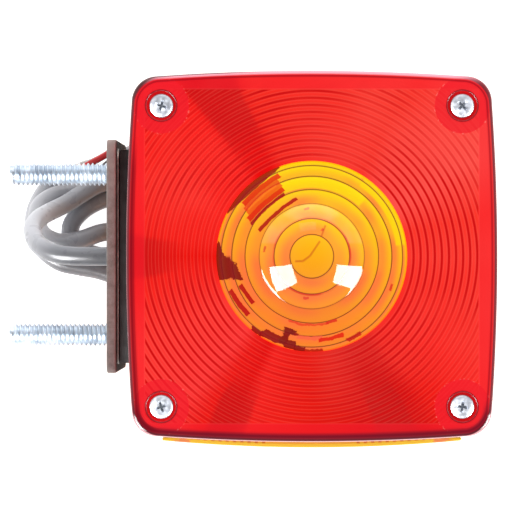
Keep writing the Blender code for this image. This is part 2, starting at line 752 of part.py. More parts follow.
def make_bulb():
    profile = [
        (BASE_RADIUS, BASE_TOP),
        (BASE_RADIUS, BASE_REAR + 0.6 * MM),
        (BASE_RADIUS - 0.4 * MM, BASE_REAR),
        (7.0 * MM, BASE_REAR),
        (7.0 * MM, BASE_TOP),
    ]
    base = turned_on_x("bulb_base", profile, 32, closed=True)
    base.location = (0, 0, 0)
    for side in (1, -1):
        pin = cylinder(f"bulb_pin_{side}", PIN_RADIUS, 7.2 * MM, 8.7 * MM, segments=16)
        pin.rotation_euler = (-side * math.pi / 2, 0, 0)
        pin.location = (PIN_X, side * 7.95 * MM, MID_DEPTH)
        join(base, pin)
    place(base, material("bulb_base", (0.75, 0.6, 0.3), 0.3, 1.0), bulb_axis)

    def on_axis(obj, color, z=0.0):
        obj.location = (0, 0, z)
        place(obj, color, bulb_axis)

    insulator = turned_on_x(
        "bulb_insulator",
        [
            (0, BASE_REAR + 3 * MM),
            (6.7 * MM, BASE_REAR + 3 * MM),
            (6.7 * MM, BASE_REAR + 0.4 * MM),
            (0, BASE_REAR + 0.1 * MM),
        ],
        24,
    )
    on_axis(insulator, material("bulb_insulator", (0.02, 0.02, 0.02), 0.2))
    solder = material("bulb_contact", (0.7, 0.7, 0.7), 0.3, 1.0)
    for i, z in enumerate((3.2 * MM, -3.2 * MM), 1):
        profile = [
            (0, BASE_REAR - 0.2 * MM),
            (1.7 * MM, BASE_REAR - 0.2 * MM),
            (1.5 * MM, BASE_REAR - 0.6 * MM),
            (0, BASE_REAR - 0.8 * MM),
        ]
        on_axis(turned_on_x(f"bulb_contact_{i}", profile, 16), solder, z)

    neck = 6.6 * MM
    neck_end = BASE_TOP - 5 * MM
    ball = GLASS_TIP - GLASS_RADIUS
    arc = [math.radians(8 + 16.4 * i) for i in range(6)]
    wall = 0.7 * MM
    outer = [(0, GLASS_TIP)]
    outer += [(GLASS_RADIUS * math.sin(a), ball + GLASS_RADIUS * math.cos(a)) for a in arc]
    outer += [(11.8 * MM, ball - 8 * MM), (8.4 * MM, BASE_TOP + 5.5 * MM), (neck, BASE_TOP + 1.5 * MM), (neck, neck_end)]
    inner = [(neck - wall, neck_end), (neck - wall, BASE_TOP + 1.5 * MM), (7.6 * MM, BASE_TOP + 5.5 * MM)]
    inner += [(11.0 * MM, ball - 8 * MM)]
    thin = GLASS_RADIUS - wall
    inner += [(thin * math.sin(a), ball + thin * math.cos(a)) for a in reversed(arc)]
    inner += [(0, GLASS_TIP - wall)]
    glass = turned_on_x("bulb_glass", outer + inner, 32)
    on_axis(glass, material("bulb_glass", (0.95, 0.97, 1.0), 0.02, 0.0, 1.0))

    stem_top = BASE_TOP + 9 * MM
    stem = turned_on_x(
        "bulb_stem",
        [
            (0, stem_top),
            (2.0 * MM, stem_top),
            (2.4 * MM, stem_top - 5 * MM),
            (5.4 * MM, neck_end + 1.5 * MM),
            (5.4 * MM, neck_end),
            (0, neck_end),
        ],
        20,
    )
    on_axis(stem, material("bulb_stem", (0.9, 0.93, 0.95), 0.05, 0.0, 1.0))
    nickel = material("bulb_support", (0.6, 0.6, 0.6), 0.3, 1.0)
    filament_x = PIN_X + 31.75 * MM
    start = stem_top + GAP
    for i, (y, z) in enumerate(((-3.2, 1.6), (3.2, 1.6), (0.0, -2.2)), 1):
        ends = [
            (start, 0.35 * y * MM, 0.35 * z * MM),
            (start + 2.5 * MM, 0.7 * y * MM, 0.7 * z * MM),
            (filament_x - 0.9 * MM, y * MM, z * MM),
        ]
        post = wire(f"bulb_support_{i}", ends, 0.3 * MM, 1)
        place(post, nickel, bulb_axis)
    tungsten = material("filament", (0.4, 0.4, 0.42), 0.4, 1.0)
    for name, x, z in (("filament_stop", 0.0, 1.6), ("filament_tail", 0.0, -2.2)):
        half = 3.4 * MM
        turns = 5
        count = 8
        coil = []
        for i in range(turns * count + 1):
            angle = 2 * math.pi * i / count
            along = -half + 2 * half * i / (turns * count)
            coil.append((filament_x + x + 0.35 * MM * math.cos(angle), along, z * MM + 0.35 * MM * math.sin(angle)))
        place(wire(name, coil, 0.12 * MM, 0), tungsten, bulb_axis)


# Cable


def make_cable():
    neck = 4.7 * MM
    bore = CABLE_RADIUS + GAP
    inner_flange = -50.3 * MM + GAP
    plate_low = FOOT_FACE - GAP - PLATE_THICKNESS
    profile = [
        (bore, inner_flange + 1.3 * MM),
        (6.3 * MM, inner_flange + 1.3 * MM),
        (6.3 * MM, inner_flange),
        (neck, inner_flange),
        (neck, plate_low - GAP),
        (6.2 * MM, plate_low - GAP),
        (5.8 * MM, GROMMET_FACE),
        (bore, GROMMET_FACE),
    ]
    grommet = turned_on_x("cable_grommet", profile, 24, closed=True)
    place(grommet, material("cable_grommet", (0.03, 0.03, 0.03), 0.7))
    cable = wire("cable", in_metres(CABLE_ROUTE), CABLE_RADIUS, 3)
    place(cable, material("cable", (0.42, 0.42, 0.45), 0.45))
    colors = {"wire_red": (0.8, 0.02, 0.02), "wire_white": (0.85, 0.85, 0.85), "wire_black": (0.02, 0.02, 0.02)}
    for name, route in WIRE_ROUTES.items():
        tail = wire(name, smooth_path(in_metres(route), 4 * MM), WIRE_RADIUS, 1)
        place(tail, material(name, colors[name], 0.45))


clear_scene()
parts = new_collection("pedestal_lamp")
tools = new_collection("cutters")
lens_centre = new_empty("lens_centre_line", (LENS_CENTRE_X, LENS_CENTRE_Y, 0))
bulb_axis = new_empty("bulb_axis", (0, 0, MID_DEPTH), lens_centre)
make_housing()
make_base()
make_studs()
make_front_lens()
make_rear_lens()
make_seals()
make_lens_screws()
make_side_lens()
make_socket()
make_contacts()
make_bulb()
make_cable()
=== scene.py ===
"""Looks of the square pedestal lamp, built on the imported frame. Lengths are in metres."""

import math

import bmesh
import bpy
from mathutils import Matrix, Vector


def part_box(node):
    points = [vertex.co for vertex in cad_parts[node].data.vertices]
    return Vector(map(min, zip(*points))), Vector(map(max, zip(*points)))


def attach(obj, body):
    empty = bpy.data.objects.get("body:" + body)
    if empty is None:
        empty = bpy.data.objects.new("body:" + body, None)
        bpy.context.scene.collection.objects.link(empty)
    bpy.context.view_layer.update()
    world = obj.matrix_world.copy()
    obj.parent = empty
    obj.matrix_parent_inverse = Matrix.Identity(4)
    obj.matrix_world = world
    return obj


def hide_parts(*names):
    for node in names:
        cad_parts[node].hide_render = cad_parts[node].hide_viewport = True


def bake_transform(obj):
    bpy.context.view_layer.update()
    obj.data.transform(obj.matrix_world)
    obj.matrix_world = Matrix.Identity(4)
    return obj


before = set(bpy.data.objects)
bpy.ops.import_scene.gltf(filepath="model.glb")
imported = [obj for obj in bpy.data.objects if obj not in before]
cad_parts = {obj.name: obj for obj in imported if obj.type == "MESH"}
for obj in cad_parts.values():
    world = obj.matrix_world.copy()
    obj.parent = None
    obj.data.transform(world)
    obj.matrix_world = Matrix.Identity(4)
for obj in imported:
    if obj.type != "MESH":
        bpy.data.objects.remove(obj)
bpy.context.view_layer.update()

MM = 0.001
CENTRE = Vector((0.01735, 0.0011, 0.0))
FRONT = 0.0858
REAR = 0.0058
MID = 0.0458
LENS_HALF = 48.9 * MM
LENS_BOW = 1.5 * MM
LENS_RADIUS = 7.0 * MM
LENS_SKIRT = 10.0 * MM
ZONE_HALF = 45.3 * MM
SCREW_PATTERN = 40.85 * MM
BULLSEYE_RADIUS = 25.75 * MM
DOME_RADIUS = 14.25 * MM
DOME_HEIGHT = 5.8 * MM
RING_PITCH = 1.92 * MM
RING_START = 27.6 * MM
AMBER_RINGS = (5.9 * MM, 10.2 * MM, 14.25 * MM, 18.1 * MM, 21.7 * MM, 24.6 * MM)
SIDE_RIB_START_MM = 12.8
SIDE_RIB_PITCH_MM = 1.5
SIDE_RIBS = 13
SIDE_LENS_END = -50.65 * MM
SIDE_LENS_OUTER = -52.6 * MM
SIDE_LENS_CURVE = 1.24
CABLE_RADIUS = 2.65 * MM

# The cable's route in millimetres from the lens centre line, as in the CAD
CABLE_ROUTE = [
    (-55.9, 0.0, 45.8), (-61.9, 0.0, 45.8), (-69.8, 0.3, 44.4), (-74.8, 1.6, 41.4),
    (-78.2, 3.9, 37.0), (-79.8, 8.0, 30.4), (-78.6, 10.7, 25.2), (-76.1, 12.6, 20.1),
    (-71.5, 15.2, 14.1), (-67.2, 18.1, 11.1), (-62.3, 21.0, 9.0), (-55.4, 22.7, 5.5),
    (-50.4, 24.5, 2.8), (-44.6, 26.2, 2.8), (-36.7, 25.9, 2.8), (-31.2, 23.5, 2.8),
    (-27.0, 19.3, 2.8), (-24.1, 11.9, 2.8), (-24.3, 5.9, 2.8), (-26.7, 0.4, 2.8),
    (-32.4, -5.1, 2.8), (-38.1, -6.8, 2.8), (-44.0, -5.6, 2.8), (-51.1, -2.0, 2.8),
    (-56.4, 0.0, 4.7), (-61.9, 0.1, 6.9), (-69.2, 3.0, 7.4), (-70.5, 8.6, 7.1),
    (-67.1, 13.3, 6.6), (-60.3, 16.9, 4.2), (-54.6, 17.5, 2.8), (-48.7, 18.8, 2.8),
    (-40.9, 20.5, 2.8), (-35.3, 18.8, 2.8), (-31.1, 14.6, 2.8), (-30.3, 6.7, 2.8),
    (-33.5, 1.8, 2.8), (-39.0, -0.2, 2.8), (-44.8, 1.3, 2.8), (-51.7, 5.3, 3.0),
    (-56.7, 7.2, 5.6), (-61.3, 6.9, 9.5), (-68.1, 4.6, 13.0), (-74.0, 4.2, 13.3),
    (-78.9, 7.1, 12.0), (-79.7, 14.0, 9.3), (-75.4, 17.7, 7.7), (-69.9, 18.9, 5.6),
    (-63.3, 21.8, 3.0), (-58.9, 25.9, 2.8), (-53.7, 29.6, 2.8), (-46.1, 32.0, 2.8),
    (-40.1, 32.5, 2.8), (-34.2, 31.4, 2.8), (-27.0, 27.7, 2.8), (-22.7, 23.5, 2.8),
    (-19.7, 18.4, 2.8), (-18.0, 10.6, 2.8), (-18.5, 4.6, 2.8), (-20.6, -1.1, 2.8),
    (-25.5, -7.4, 2.8), (-30.4, -10.8, 2.8), (-36.2, -12.6, 2.8), (-44.1, -11.9, 2.8),
    (-49.7, -9.6, 2.8), (-55.0, -6.8, 2.8), (-62.5, -4.1, 2.8), (-68.4, -3.0, 2.8),
    (-74.3, -1.5, 2.8), (-80.2, 3.7, 2.8), (-81.7, 9.4, 2.8), (-80.5, 15.3, 2.8),
    (-75.9, 21.8, 2.8), (-70.4, 24.2, 2.8),
]
WIRE_ROUTES = {
    "wire_red": [(-69.8, 24.4, 4.0), (-65.0, 27.2, 4.8), (-60.4, 29.7, 4.8), (-57.2, 31.9, 4.8)],
    "wire_white": [
        (-70.4, 25.4, 2.2), (-67.6, 27.1, 1.1), (-64.8, 27.9, 1.0), (-60.4, 30.2, 1.0), (-57.2, 32.3, 1.0),
    ],
    "wire_black": [(-69.4, 23.5, 2.2), (-65.0, 27.0, 2.9), (-60.4, 29.7, 2.9), (-57.2, 31.9, 2.9)],
}


# Camera, floor and light


def make_camera():
    data = bpy.data.cameras.new("camera")
    data.sensor_width = 36
    data.lens = 259.4
    data.shift_x = -0.109
    data.shift_y = 0.0006
    data.clip_start = 0.01
    data.clip_end = 20
    camera = bpy.data.objects.new("camera", data)
    camera.location = (CENTRE.x, CENTRE.y, FRONT + 1.0)
    bpy.context.scene.collection.objects.link(camera)
    bpy.context.scene.camera = camera


def link(obj):
    bpy.context.scene.collection.objects.link(obj)
    return obj


def make_floor(material):
    mesh = bpy.data.meshes.new("floor")
    shape = bmesh.new()
    bmesh.ops.create_grid(shape, x_segments=8, y_segments=8, size=2.0)
    shape.to_mesh(mesh)
    shape.free()
    floor = link(bpy.data.objects.new("floor", mesh))
    floor.location.z = -0.0001
    mesh.materials.append(material)


def make_softbox(name, corners, strength, distance=1.3):
    """A light panel whose corners lie in the given directions."""
    mesh = bpy.data.meshes.new(name)
    points = [Vector(c).normalized() * distance + CENTRE + Vector((0, 0, FRONT)) for c in corners]
    mesh.from_pydata([tuple(p) for p in points], [], [(0, 1, 2, 3)])
    panel = link(bpy.data.objects.new(name, mesh))
    look = bpy.data.materials.new(name)
    look.use_nodes = True
    tree = look.node_tree
    tree.nodes.clear()
    glow = tree.nodes.new("ShaderNodeEmission")
    glow.inputs["Strength"].default_value = strength
    out = tree.nodes.new("ShaderNodeOutputMaterial")
    tree.links.new(glow.outputs[0], out.inputs["Surface"])
    mesh.materials.append(look)
    panel.visible_diffuse = False


def make_area(name, location, size, power):
    data = bpy.data.lights.new(name, "AREA")
    data.shape = "RECTANGLE"
    data.size = size[0]
    data.size_y = size[1]
    data.energy = power
    light = link(bpy.data.objects.new(name, data))
    light.location = location
    aim = Vector((CENTRE.x, CENTRE.y, MID)) - Vector(location)
    light.rotation_euler = aim.to_track_quat("-Z", "Y").to_euler()


def make_world():
    world = bpy.data.worlds.new("studio")
    bpy.context.scene.world = world
    world.use_nodes = True
    nodes = Nodes(world.node_tree)
    background = nodes.tree.nodes["Background"]
    split = nodes.node("ShaderNodeSeparateXYZ")
    nodes.join(nodes.node("ShaderNodeTexCoord").outputs["Generated"], split.inputs[0])
    y, z = split.outputs[1:3]
    sky = [
        (0.0, (0.95, 0.95, 0.96)),
        (0.45, (0.95, 0.95, 0.96)),
        (0.8, (0.85, 0.85, 0.87)),
        (0.97, (0.26, 0.26, 0.27)),
    ]
    nodes.join(nodes.ramp(z, sky), background.inputs["Color"])
    # A bright low panel beyond +Y
    low = nodes.step(z, 0.52, 0.48, kind="LINEAR")
    far = nodes.step(y, 0.8, 0.86, kind="LINEAR")
    nodes.join(nodes.math("MULTIPLY_ADD", nodes.mul(low, far), 1.7, 0.66), background.inputs["Strength"])


# Materials


class Nodes:
    """A tree of shader nodes, built up from values."""

    def __init__(self, tree):
        self.tree = tree

    def node(self, kind, **settings):
        found = self.tree.nodes.new(kind)
        for key, value in settings.items():
            setattr(found, key, value)
        return found

    def join(self, value, socket):
        if isinstance(value, bpy.types.NodeSocket):
            self.tree.links.new(value, socket)
        elif isinstance(value, (tuple, list)):
            socket.default_value = (*value, 1.0) if len(value) == 3 and socket.type == "RGBA" else value
        else:
            socket.default_value = value

    def math(self, operation, a, b=0.0, c=None):
        found = self.node("ShaderNodeMath", operation=operation)
        self.join(a, found.inputs[0])
        self.join(b, found.inputs[1])
        if c is not None:
            self.join(c, found.inputs[2])
        return found.outputs[0]

    def add(self, a, b):
        return self.math("ADD", a, b)

    def sub(self, a, b):
        return self.math("SUBTRACT", a, b)

    def mul(self, a, *others):
        for b in others:
            a = self.math("MULTIPLY", a, b)
        return a

    def abs(self, a):
        return self.math("ABSOLUTE", a)

    def fract(self, a):
        return self.math("FRACT", a)

    def max(self, a, b):
        return self.math("MAXIMUM", a, b)

    def hypot(self, a, b):
        return self.math("SQRT", self.add(self.mul(a, a), self.mul(b, b)))

    def step(self, value, start, end, low=0.0, high=1.0, kind="SMOOTHSTEP"):
        """A step from low at start to high at end."""
        found = self.node("ShaderNodeMapRange", interpolation_type=kind)
        self.join(value, found.inputs["Value"])
        found.inputs["From Min"].default_value = start
        found.inputs["From Max"].default_value = end
        found.inputs["To Min"].default_value = low
        found.inputs["To Max"].default_value = high
        return found.outputs["Result"]

    def fall(self, value, start, end):
        """A smooth step from 1 at start to 0 at end."""
        return self.step(value, start, end, 1.0, 0.0)

    def band(self, value, start, end, soft):
        """1 between start and end, with soft edges."""
        rise = self.step(value, start - soft, start + soft)
        return self.mul(rise, self.fall(value, end - soft, end + soft))

    def mix(self, factor, a, b):
        found = self.node("ShaderNodeMix", data_type="RGBA")
        self.join(factor, found.inputs[0])
        self.join(a, found.inputs[6])
        self.join(b, found.inputs[7])
        return found.outputs[2]

    def paint(self, under, mask, tone, strength=None):
        """A display colour over what is under, where the mask is 1."""
        factor = mask if strength is None else self.mul(mask, strength)
        return self.mix(factor, under, srgb(*tone))

    def ramp(self, value, stops):
        """Linear colours along the value."""
        found = self.node("ShaderNodeValToRGB")
        first, last = found.color_ramp.elements
        first.position, first.color = stops[0][0], (*stops[0][1], 1)
        last.position, last.color = stops[-1][0], (*stops[-1][1], 1)
        for position, color in stops[1:-1]:
            found.color_ramp.elements.new(position).color = (*color, 1)
        self.join(value, found.inputs[0])
        return found.outputs["Color"]

    def tones(self, value, *stops):
        """Display colours along the value, as (value, colour)."""
        return self.ramp(value, [(position, srgb(*tone)) for position, tone in stops])


class Look(Nodes):
    """A material whose values are built from the place on the object, in metres from the lens centre line."""

    def __init__(self, name, roughness, metallic=0.0, ior=1.49):
        self.material = bpy.data.materials.new(name)
        self.material.use_nodes = True
        super().__init__(self.material.node_tree)
        self.shader = self.tree.nodes["Principled BSDF"]
        self.shader.inputs["Roughness"].default_value = roughness
        self.shader.inputs["Metallic"].default_value = metallic
        self.shader.inputs["IOR"].default_value = ior
        self.place = None

    def position(self, centre=None):
        """x, y and z from the lens centre line, and their vector."""
        if self.place is None:
            coords = self.node("ShaderNodeTexCoord")
            shift = self.node("ShaderNodeVectorMath", operation="SUBTRACT")
            self.tree.links.new(coords.outputs["Object"], shift.inputs[0])
            shift.inputs[1].default_value = tuple(centre or CENTRE)
            split = self.node("ShaderNodeSeparateXYZ")
            self.tree.links.new(shift.outputs[0], split.inputs[0])
            self.place = (*split.outputs, shift.outputs[0])
        return self.place

    def noise(self, scale, detail=3.0, roughness=0.5, stretch=None):
        found = self.node("ShaderNodeTexNoise")
        found.inputs["Scale"].default_value = scale
        found.inputs["Detail"].default_value = detail
        found.inputs["Roughness"].default_value = roughness
        source = self.position()[3]
        if stretch:
            scaled = self.node("ShaderNodeVectorMath", operation="MULTIPLY")
            self.tree.links.new(source, scaled.inputs[0])
            scaled.inputs[1].default_value = stretch
            source = scaled.outputs[0]
        self.tree.links.new(source, found.inputs["Vector"])
        return found.outputs["Fac"]

    def cells(self, scale):
        """How far a point is from the middle of its cell."""
        found = self.node("ShaderNodeTexVoronoi")
        found.inputs["Scale"].default_value = scale
        self.tree.links.new(self.position()[3], found.inputs["Vector"])
        return found.outputs["Distance"]

    def bump(self, height, distance, strength=1.0):
        found = self.node("ShaderNodeBump")
        found.inputs["Strength"].default_value = strength
        found.inputs["Distance"].default_value = distance
        self.tree.links.new(height, found.inputs["Height"])
        self.tree.links.new(found.outputs[0], self.shader.inputs["Normal"])

    def roughness(self, scale, detail, low, high):
        """Roughness that wanders between low and high."""
        self.join(self.step(self.noise(scale, detail), 0.3, 0.7, low, high), self.shader.inputs["Roughness"])

    def color(self, value, glow=0.0):
        self.join(value, self.shader.inputs["Base Color"])
        if glow:
            self.join(value, self.shader.inputs["Emission Color"])
            self.shader.inputs["Emission Strength"].default_value = glow

    def radius(self):
        return self.hypot(*self.position()[:2])

    def azimuth(self):
        """The angle from +X towards +Y as 0 to 1."""
        x, y = self.position()[:2]
        angle = self.math("ARCTAN2", y, x)
        return self.fract(self.add(self.mul(angle, 0.5 / math.pi), 1.0))

    def edge_distance(self):
        """How far inside the lens outline a point is, up to the corner radius."""
        x, y = self.position()[:2]
        curve = -LENS_BOW / (LENS_HALF - LENS_RADIUS) ** 2
        across = []
        for along, other in ((x, y), (y, x)):
            bulge = self.math("MULTIPLY_ADD", self.mul(other, other), curve, LENS_HALF + LENS_BOW)
            reach = self.max(bulge, LENS_HALF - 0.4 * MM)
            over = self.add(self.sub(self.abs(along), reach), LENS_RADIUS)
            across.append(self.max(over, 0.0))
        return self.sub(LENS_RADIUS, self.hypot(*across))

    def ring_phase(self, radius):
        """How far a point is from the middle of its ring, in pitches."""
        return self.abs(self.sub(self.fract(self.mul(self.sub(radius, RING_START), 1 / RING_PITCH)), 0.5))

    def ring_zone(self, inner):
        """1 in the ribbed square outside the inner step, and the distance from the square's middle."""
        x, y = self.position()[:2]
        square = self.max(self.abs(x), self.abs(y))
        zone = self.fall(square, ZONE_HALF - 0.2 * MM, ZONE_HALF)
        return self.mul(zone, self.step(self.radius(), *inner)), square


def srgb(r, g, b):
    """A linear colour from 0 to 255 display values."""
    return tuple((v / 255 / 12.92) if v <= 10 else ((v / 255 + 0.055) / 1.055) ** 2.4 for v in (r, g, b))


def deeper(color):
    """Takes out the white that the gloss adds."""
    return tuple(max(0.0, v - 0.006) for v in color)


# Red by direction round the lens, as the light inside falls on it: (turns from +X towards +Y, colour)
RED_BY_DIRECTION = [
    (0.0, (250, 58, 48)),
    (0.04, (248, 55, 44)),
    (0.085, (252, 80, 72)),
    (0.135, (250, 70, 62)),
    (0.165, (244, 52, 42)),
    (0.25, (243, 50, 42)),
    (0.30, (242, 44, 34)),
    (0.322, (229, 16, 10)),
    (0.345, (231, 16, 12)),
    (0.362, (247, 36, 32)),
    (0.43, (249, 42, 36)),
    (0.475, (244, 36, 30)),
    (0.50, (236, 24, 16)),
    (0.535, (246, 40, 34)),
    (0.58, (252, 58, 52)),
    (0.635, (252, 58, 56)),
    (0.655, (237, 30, 26)),
    (0.678, (228, 20, 18)),
    (0.690, (244, 38, 34)),
    (0.73, (236, 32, 24)),
    (0.765, (226, 26, 18)),
    (0.80, (217, 16, 10)),
    (0.812, (210, 10, 8)),
    (0.845, (214, 12, 8)),
    (0.86, (238, 30, 24)),
    (0.90, (249, 38, 34)),
    (0.96, (248, 46, 38)),
    (1.0, (250, 58, 48)),
]


# Wedges that darken outwards, painted reflections of the dark surroundings seen in the reflector: (turns at
# the middle, half width in turns, start radius in millimetres)
WEDGES = [(0.676, 0.0155, 34), (0.822, 0.0165, 32), (0.333, 0.02, 30), (0.5, 0.018, 33)]


def red_lens_look():
    look = Look("red_lens_look", roughness=0.09)
    look.shader.inputs["Specular IOR Level"].default_value = 0.35
    x, y, z = look.position()[:3]
    radius = look.radius()
    wobble = look.sub(look.noise(60, 2), 0.5)
    turns = look.fract(look.add(look.azimuth(), look.mul(wobble, 0.012)))
    color = look.ramp(turns, [(p, deeper(srgb(*c))) for p, c in RED_BY_DIRECTION])
    # Painted reflections: dark wedges towards the rim
    for middle, width, start in WEDGES:
        wedge = look.band(turns, middle - width, middle + width, 0.003)
        far = look.step(radius, start * MM, (start + 12) * MM)
        color = look.paint(color, look.mul(wedge, far), (186, 8, 14), 0.55)
    # Painted light: paler streaks across the face
    streaks = look.noise(25, 2, stretch=(1, 1, 0.1))
    color = look.paint(color, look.step(streaks, 0.5, 0.75, 0.0, 0.22), (255, 96, 84))
    # Ring lines inside the ribbed zone: painted shade along each groove and a faint painted highlight beside
    # it
    line = look.ring_phase(radius)
    dark_line = look.step(line, 0.24, 0.42)
    ring_highlight = look.band(line, 0.16, 0.30, 0.06)
    zone, square = look.ring_zone((26.2 * MM, 27.0 * MM))
    fade = look.step(look.noise(32, 2), 0.34, 0.6, 0.25, 1.0)
    color = look.paint(color, look.mul(dark_line, zone, fade), (206, 8, 10))
    color = look.paint(color, look.mul(ring_highlight, zone), (255, 110, 96), 0.12)
    # Plain band round the ribs
    plain = look.step(square, ZONE_HALF - 0.1 * MM, ZONE_HALF + 0.3 * MM)
    color = look.paint(color, plain, (246, 26, 42), 0.5)
    border = look.band(square, ZONE_HALF - 0.1 * MM, ZONE_HALF + 0.25 * MM, 0.12 * MM)
    color = look.paint(color, border, (255, 90, 90), 0.12)
    # Rounded pads round the screws
    ax = look.sub(look.abs(x), SCREW_PATTERN)
    ay = look.sub(look.abs(y), SCREW_PATTERN)
    from_screw = look.hypot(ax, ay)
    pad = look.fall(from_screw, 7.4 * MM, 7.7 * MM)
    color = look.paint(color, pad, (240, 26, 40), 0.75)
    pad_rim = look.band(from_screw, 7.4 * MM, 7.8 * MM, 0.15 * MM)
    dots = look.step(look.noise(1300, 2), 0.55, 0.68)
    color = look.paint(color, look.mul(pad_rim, dots), (255, 130, 120), 0.5)
    shade = look.fall(from_screw, 4.15 * MM, 4.7 * MM)
    color = look.paint(color, shade, (120, 4, 14), 0.85)
    # Rim, where the outer face rolls over: a dark line inside it, a painted highlight along its upper side
    # and painted shade round the rest, darkest at the bottom
    edge = look.edge_distance()
    inner_line = look.band(edge, 1.15 * MM, 1.75 * MM, 0.2 * MM)
    color = look.paint(color, inner_line, (160, 4, 24), 0.7)
    upper = look.step(look.sub(y, look.abs(look.mul(x, 0.9))), 4 * MM, 16 * MM)
    lower = look.step(y, -38 * MM, -44 * MM)
    tone = look.mix(upper, srgb(96, 34, 44), srgb(238, 160, 176))
    tone = look.paint(tone, lower, (74, 12, 24))
    rim = look.fall(edge, 0.6 * MM, 1.15 * MM)
    color = look.mix(look.mul(rim, 0.9), color, tone)
    # Painted shade along the lower edge, and a thin painted highlight right on it
    foot = look.mul(look.band(edge, 0.3 * MM, 2.3 * MM, 0.6 * MM), lower)
    color = look.paint(color, foot, (96, 14, 36), 0.75)
    foot = look.mul(look.fall(edge, 0.1 * MM, 0.35 * MM), lower)
    color = look.paint(color, foot, (255, 196, 200), 0.8)
    left = look.mul(
        look.band(edge, 0.9 * MM, 2.3 * MM, 0.3 * MM),
        look.step(x, -40 * MM, -44 * MM),
        look.step(y, 34 * MM, 22 * MM),
    )
    color = look.paint(color, left, (120, 0, 18), 0.6)
    # The housing's edge shows past the rim at the upper left
    behind = look.mul(
        look.step(edge, 0.5 * MM, 0.25 * MM), look.step(y, 30 * MM, 36 * MM), look.step(x, -8 * MM, -26 * MM)
    )
    color = look.paint(color, behind, (66, 44, 44), 0.85)
    # The skirt, seen from the side
    skirt = look.fall(z, FRONT - 2.4 * MM, FRONT - 1.2 * MM)
    side = look.tones(look.noise(45, 3), (0.3, (206, 10, 18)), (0.7, (230, 20, 28)))
    color = look.mix(skirt, color, side)
    look.color(color, glow=0.46)
    look.bump(look.noise(900, 2), 0.00002, 0.15)
    return look.material


# Darker patches in the bullseye, where its rings bend the view of the housing, in millimetres.
# In rings: (turns from, turns to, radius from, radius to, display colour, strength)
RING_PATCHES = [
    (0.640, 0.664, 24.6, 25.9, (150, 0, 14), 0.95),
    (0.660, 0.690, 23.2, 25.4, (150, 0, 14), 0.95),
    (0.689, 0.706, 20.4, 25.2, (132, 0, 10), 0.95),
    (0.704, 0.716, 20.6, 22.0, (132, 0, 8), 0.95),
    (0.714, 0.724, 21.2, 22.0, (160, 0, 10), 0.9),
    (0.704, 0.722, 23.4, 25.9, (138, 0, 10), 0.95),
    (0.720, 0.740, 24.6, 26.0, (138, 0, 10), 0.95),
    (0.738, 0.768, 25.2, 26.0, (176, 0, 14), 0.9),
    (0.694, 0.790, 18.3, 18.9, (236, 62, 34), 0.85),
    (0.785, 0.814, 18.2, 18.9, (222, 40, 24), 0.9),
    (0.722, 0.770, 21.7, 22.7, (255, 96, 66), 0.7),
    (0.765, 0.814, 22.3, 23.3, (228, 18, 12), 0.9),
    (0.815, 0.839, 24.1, 25.2, (196, 6, 8), 0.9),
    (0.935, 0.950, 22.7, 23.4, (222, 50, 32), 0.9),
    (0.715, 0.735, 11.0, 11.8, (222, 56, 36), 0.8),
    (0.467, 0.487, 12.6, 13.2, (206, 70, 28), 0.8),
    (0.258, 0.275, 12.8, 13.3, (226, 90, 60), 0.7),
    (0.180, 0.195, 7.2, 8.0, (232, 70, 36), 0.8),
]
# Along chords: (chord direction in turns, along from, along to, across from, across to, colour, strength)
CHORD_PATCHES = [
    (0.1148, -9.5, 9.5, 23.8, 26.0, (156, 0, 12), 0.95),
    (0.1148, -4.7, 8.0, 22.3, 23.8, (228, 22, 10), 0.9),
    (0.1148, -5.4, 6.6, 20.0, 22.3, (236, 56, 14), 0.8),
    (0.1148, -4.6, 5.4, 20.9, 21.3, (255, 128, 24), 0.7),
    (0.1148, -6.4, 6.2, 18.5, 20.0, (226, 22, 8), 0.92),
    (0.1148, -6.6, 5.6, 17.5, 18.4, (170, 0, 12), 0.95),
    (0.1148, -6.2, 7.4, 14.6, 15.6, (178, 0, 10), 0.95),
    (0.3642, -0.7, 7.7, 22.7, 24.1, (194, 4, 14), 0.95),
    (0.3642, 0.9, 7.0, 19.7, 20.9, (188, 2, 12), 0.95),
]
# The bulb's leads seen through the middle: ends of each stroke
LEAD_STROKES = [
    ((-4.5, -1.35), (-2.4, -1.3)),
    ((-2.4, -1.3), (-0.5, 0.1)),
    ((-0.5, 0.1), (2.2, 4.1)),
    ((2.5, 5.2), (3.7, 8.4)),
]
# Brighter parts of the rings: (turns from, turns to, radius from, radius to, softness in turns and in radius,
# display colour, strength)
BRIGHT_PATCHES = [
    (0.13, 0.32, 18.6, 21.4, 0.004, 0.1, (255, 222, 10), 0.7),
    (0.02, 0.155, 23.0, 25.6, 0.003, 0.3, (255, 214, 8), 0.8),
    (0.16, 0.33, 24.7, 25.6, 0.003, 0.1, (255, 214, 8), 0.8),
]
PATCH_SOFTNESS = 0.12 * MM
AMBER_RING_DARKNESS = (0.85, 0.85, 0.6, 0.8, 0.85, 0.8)


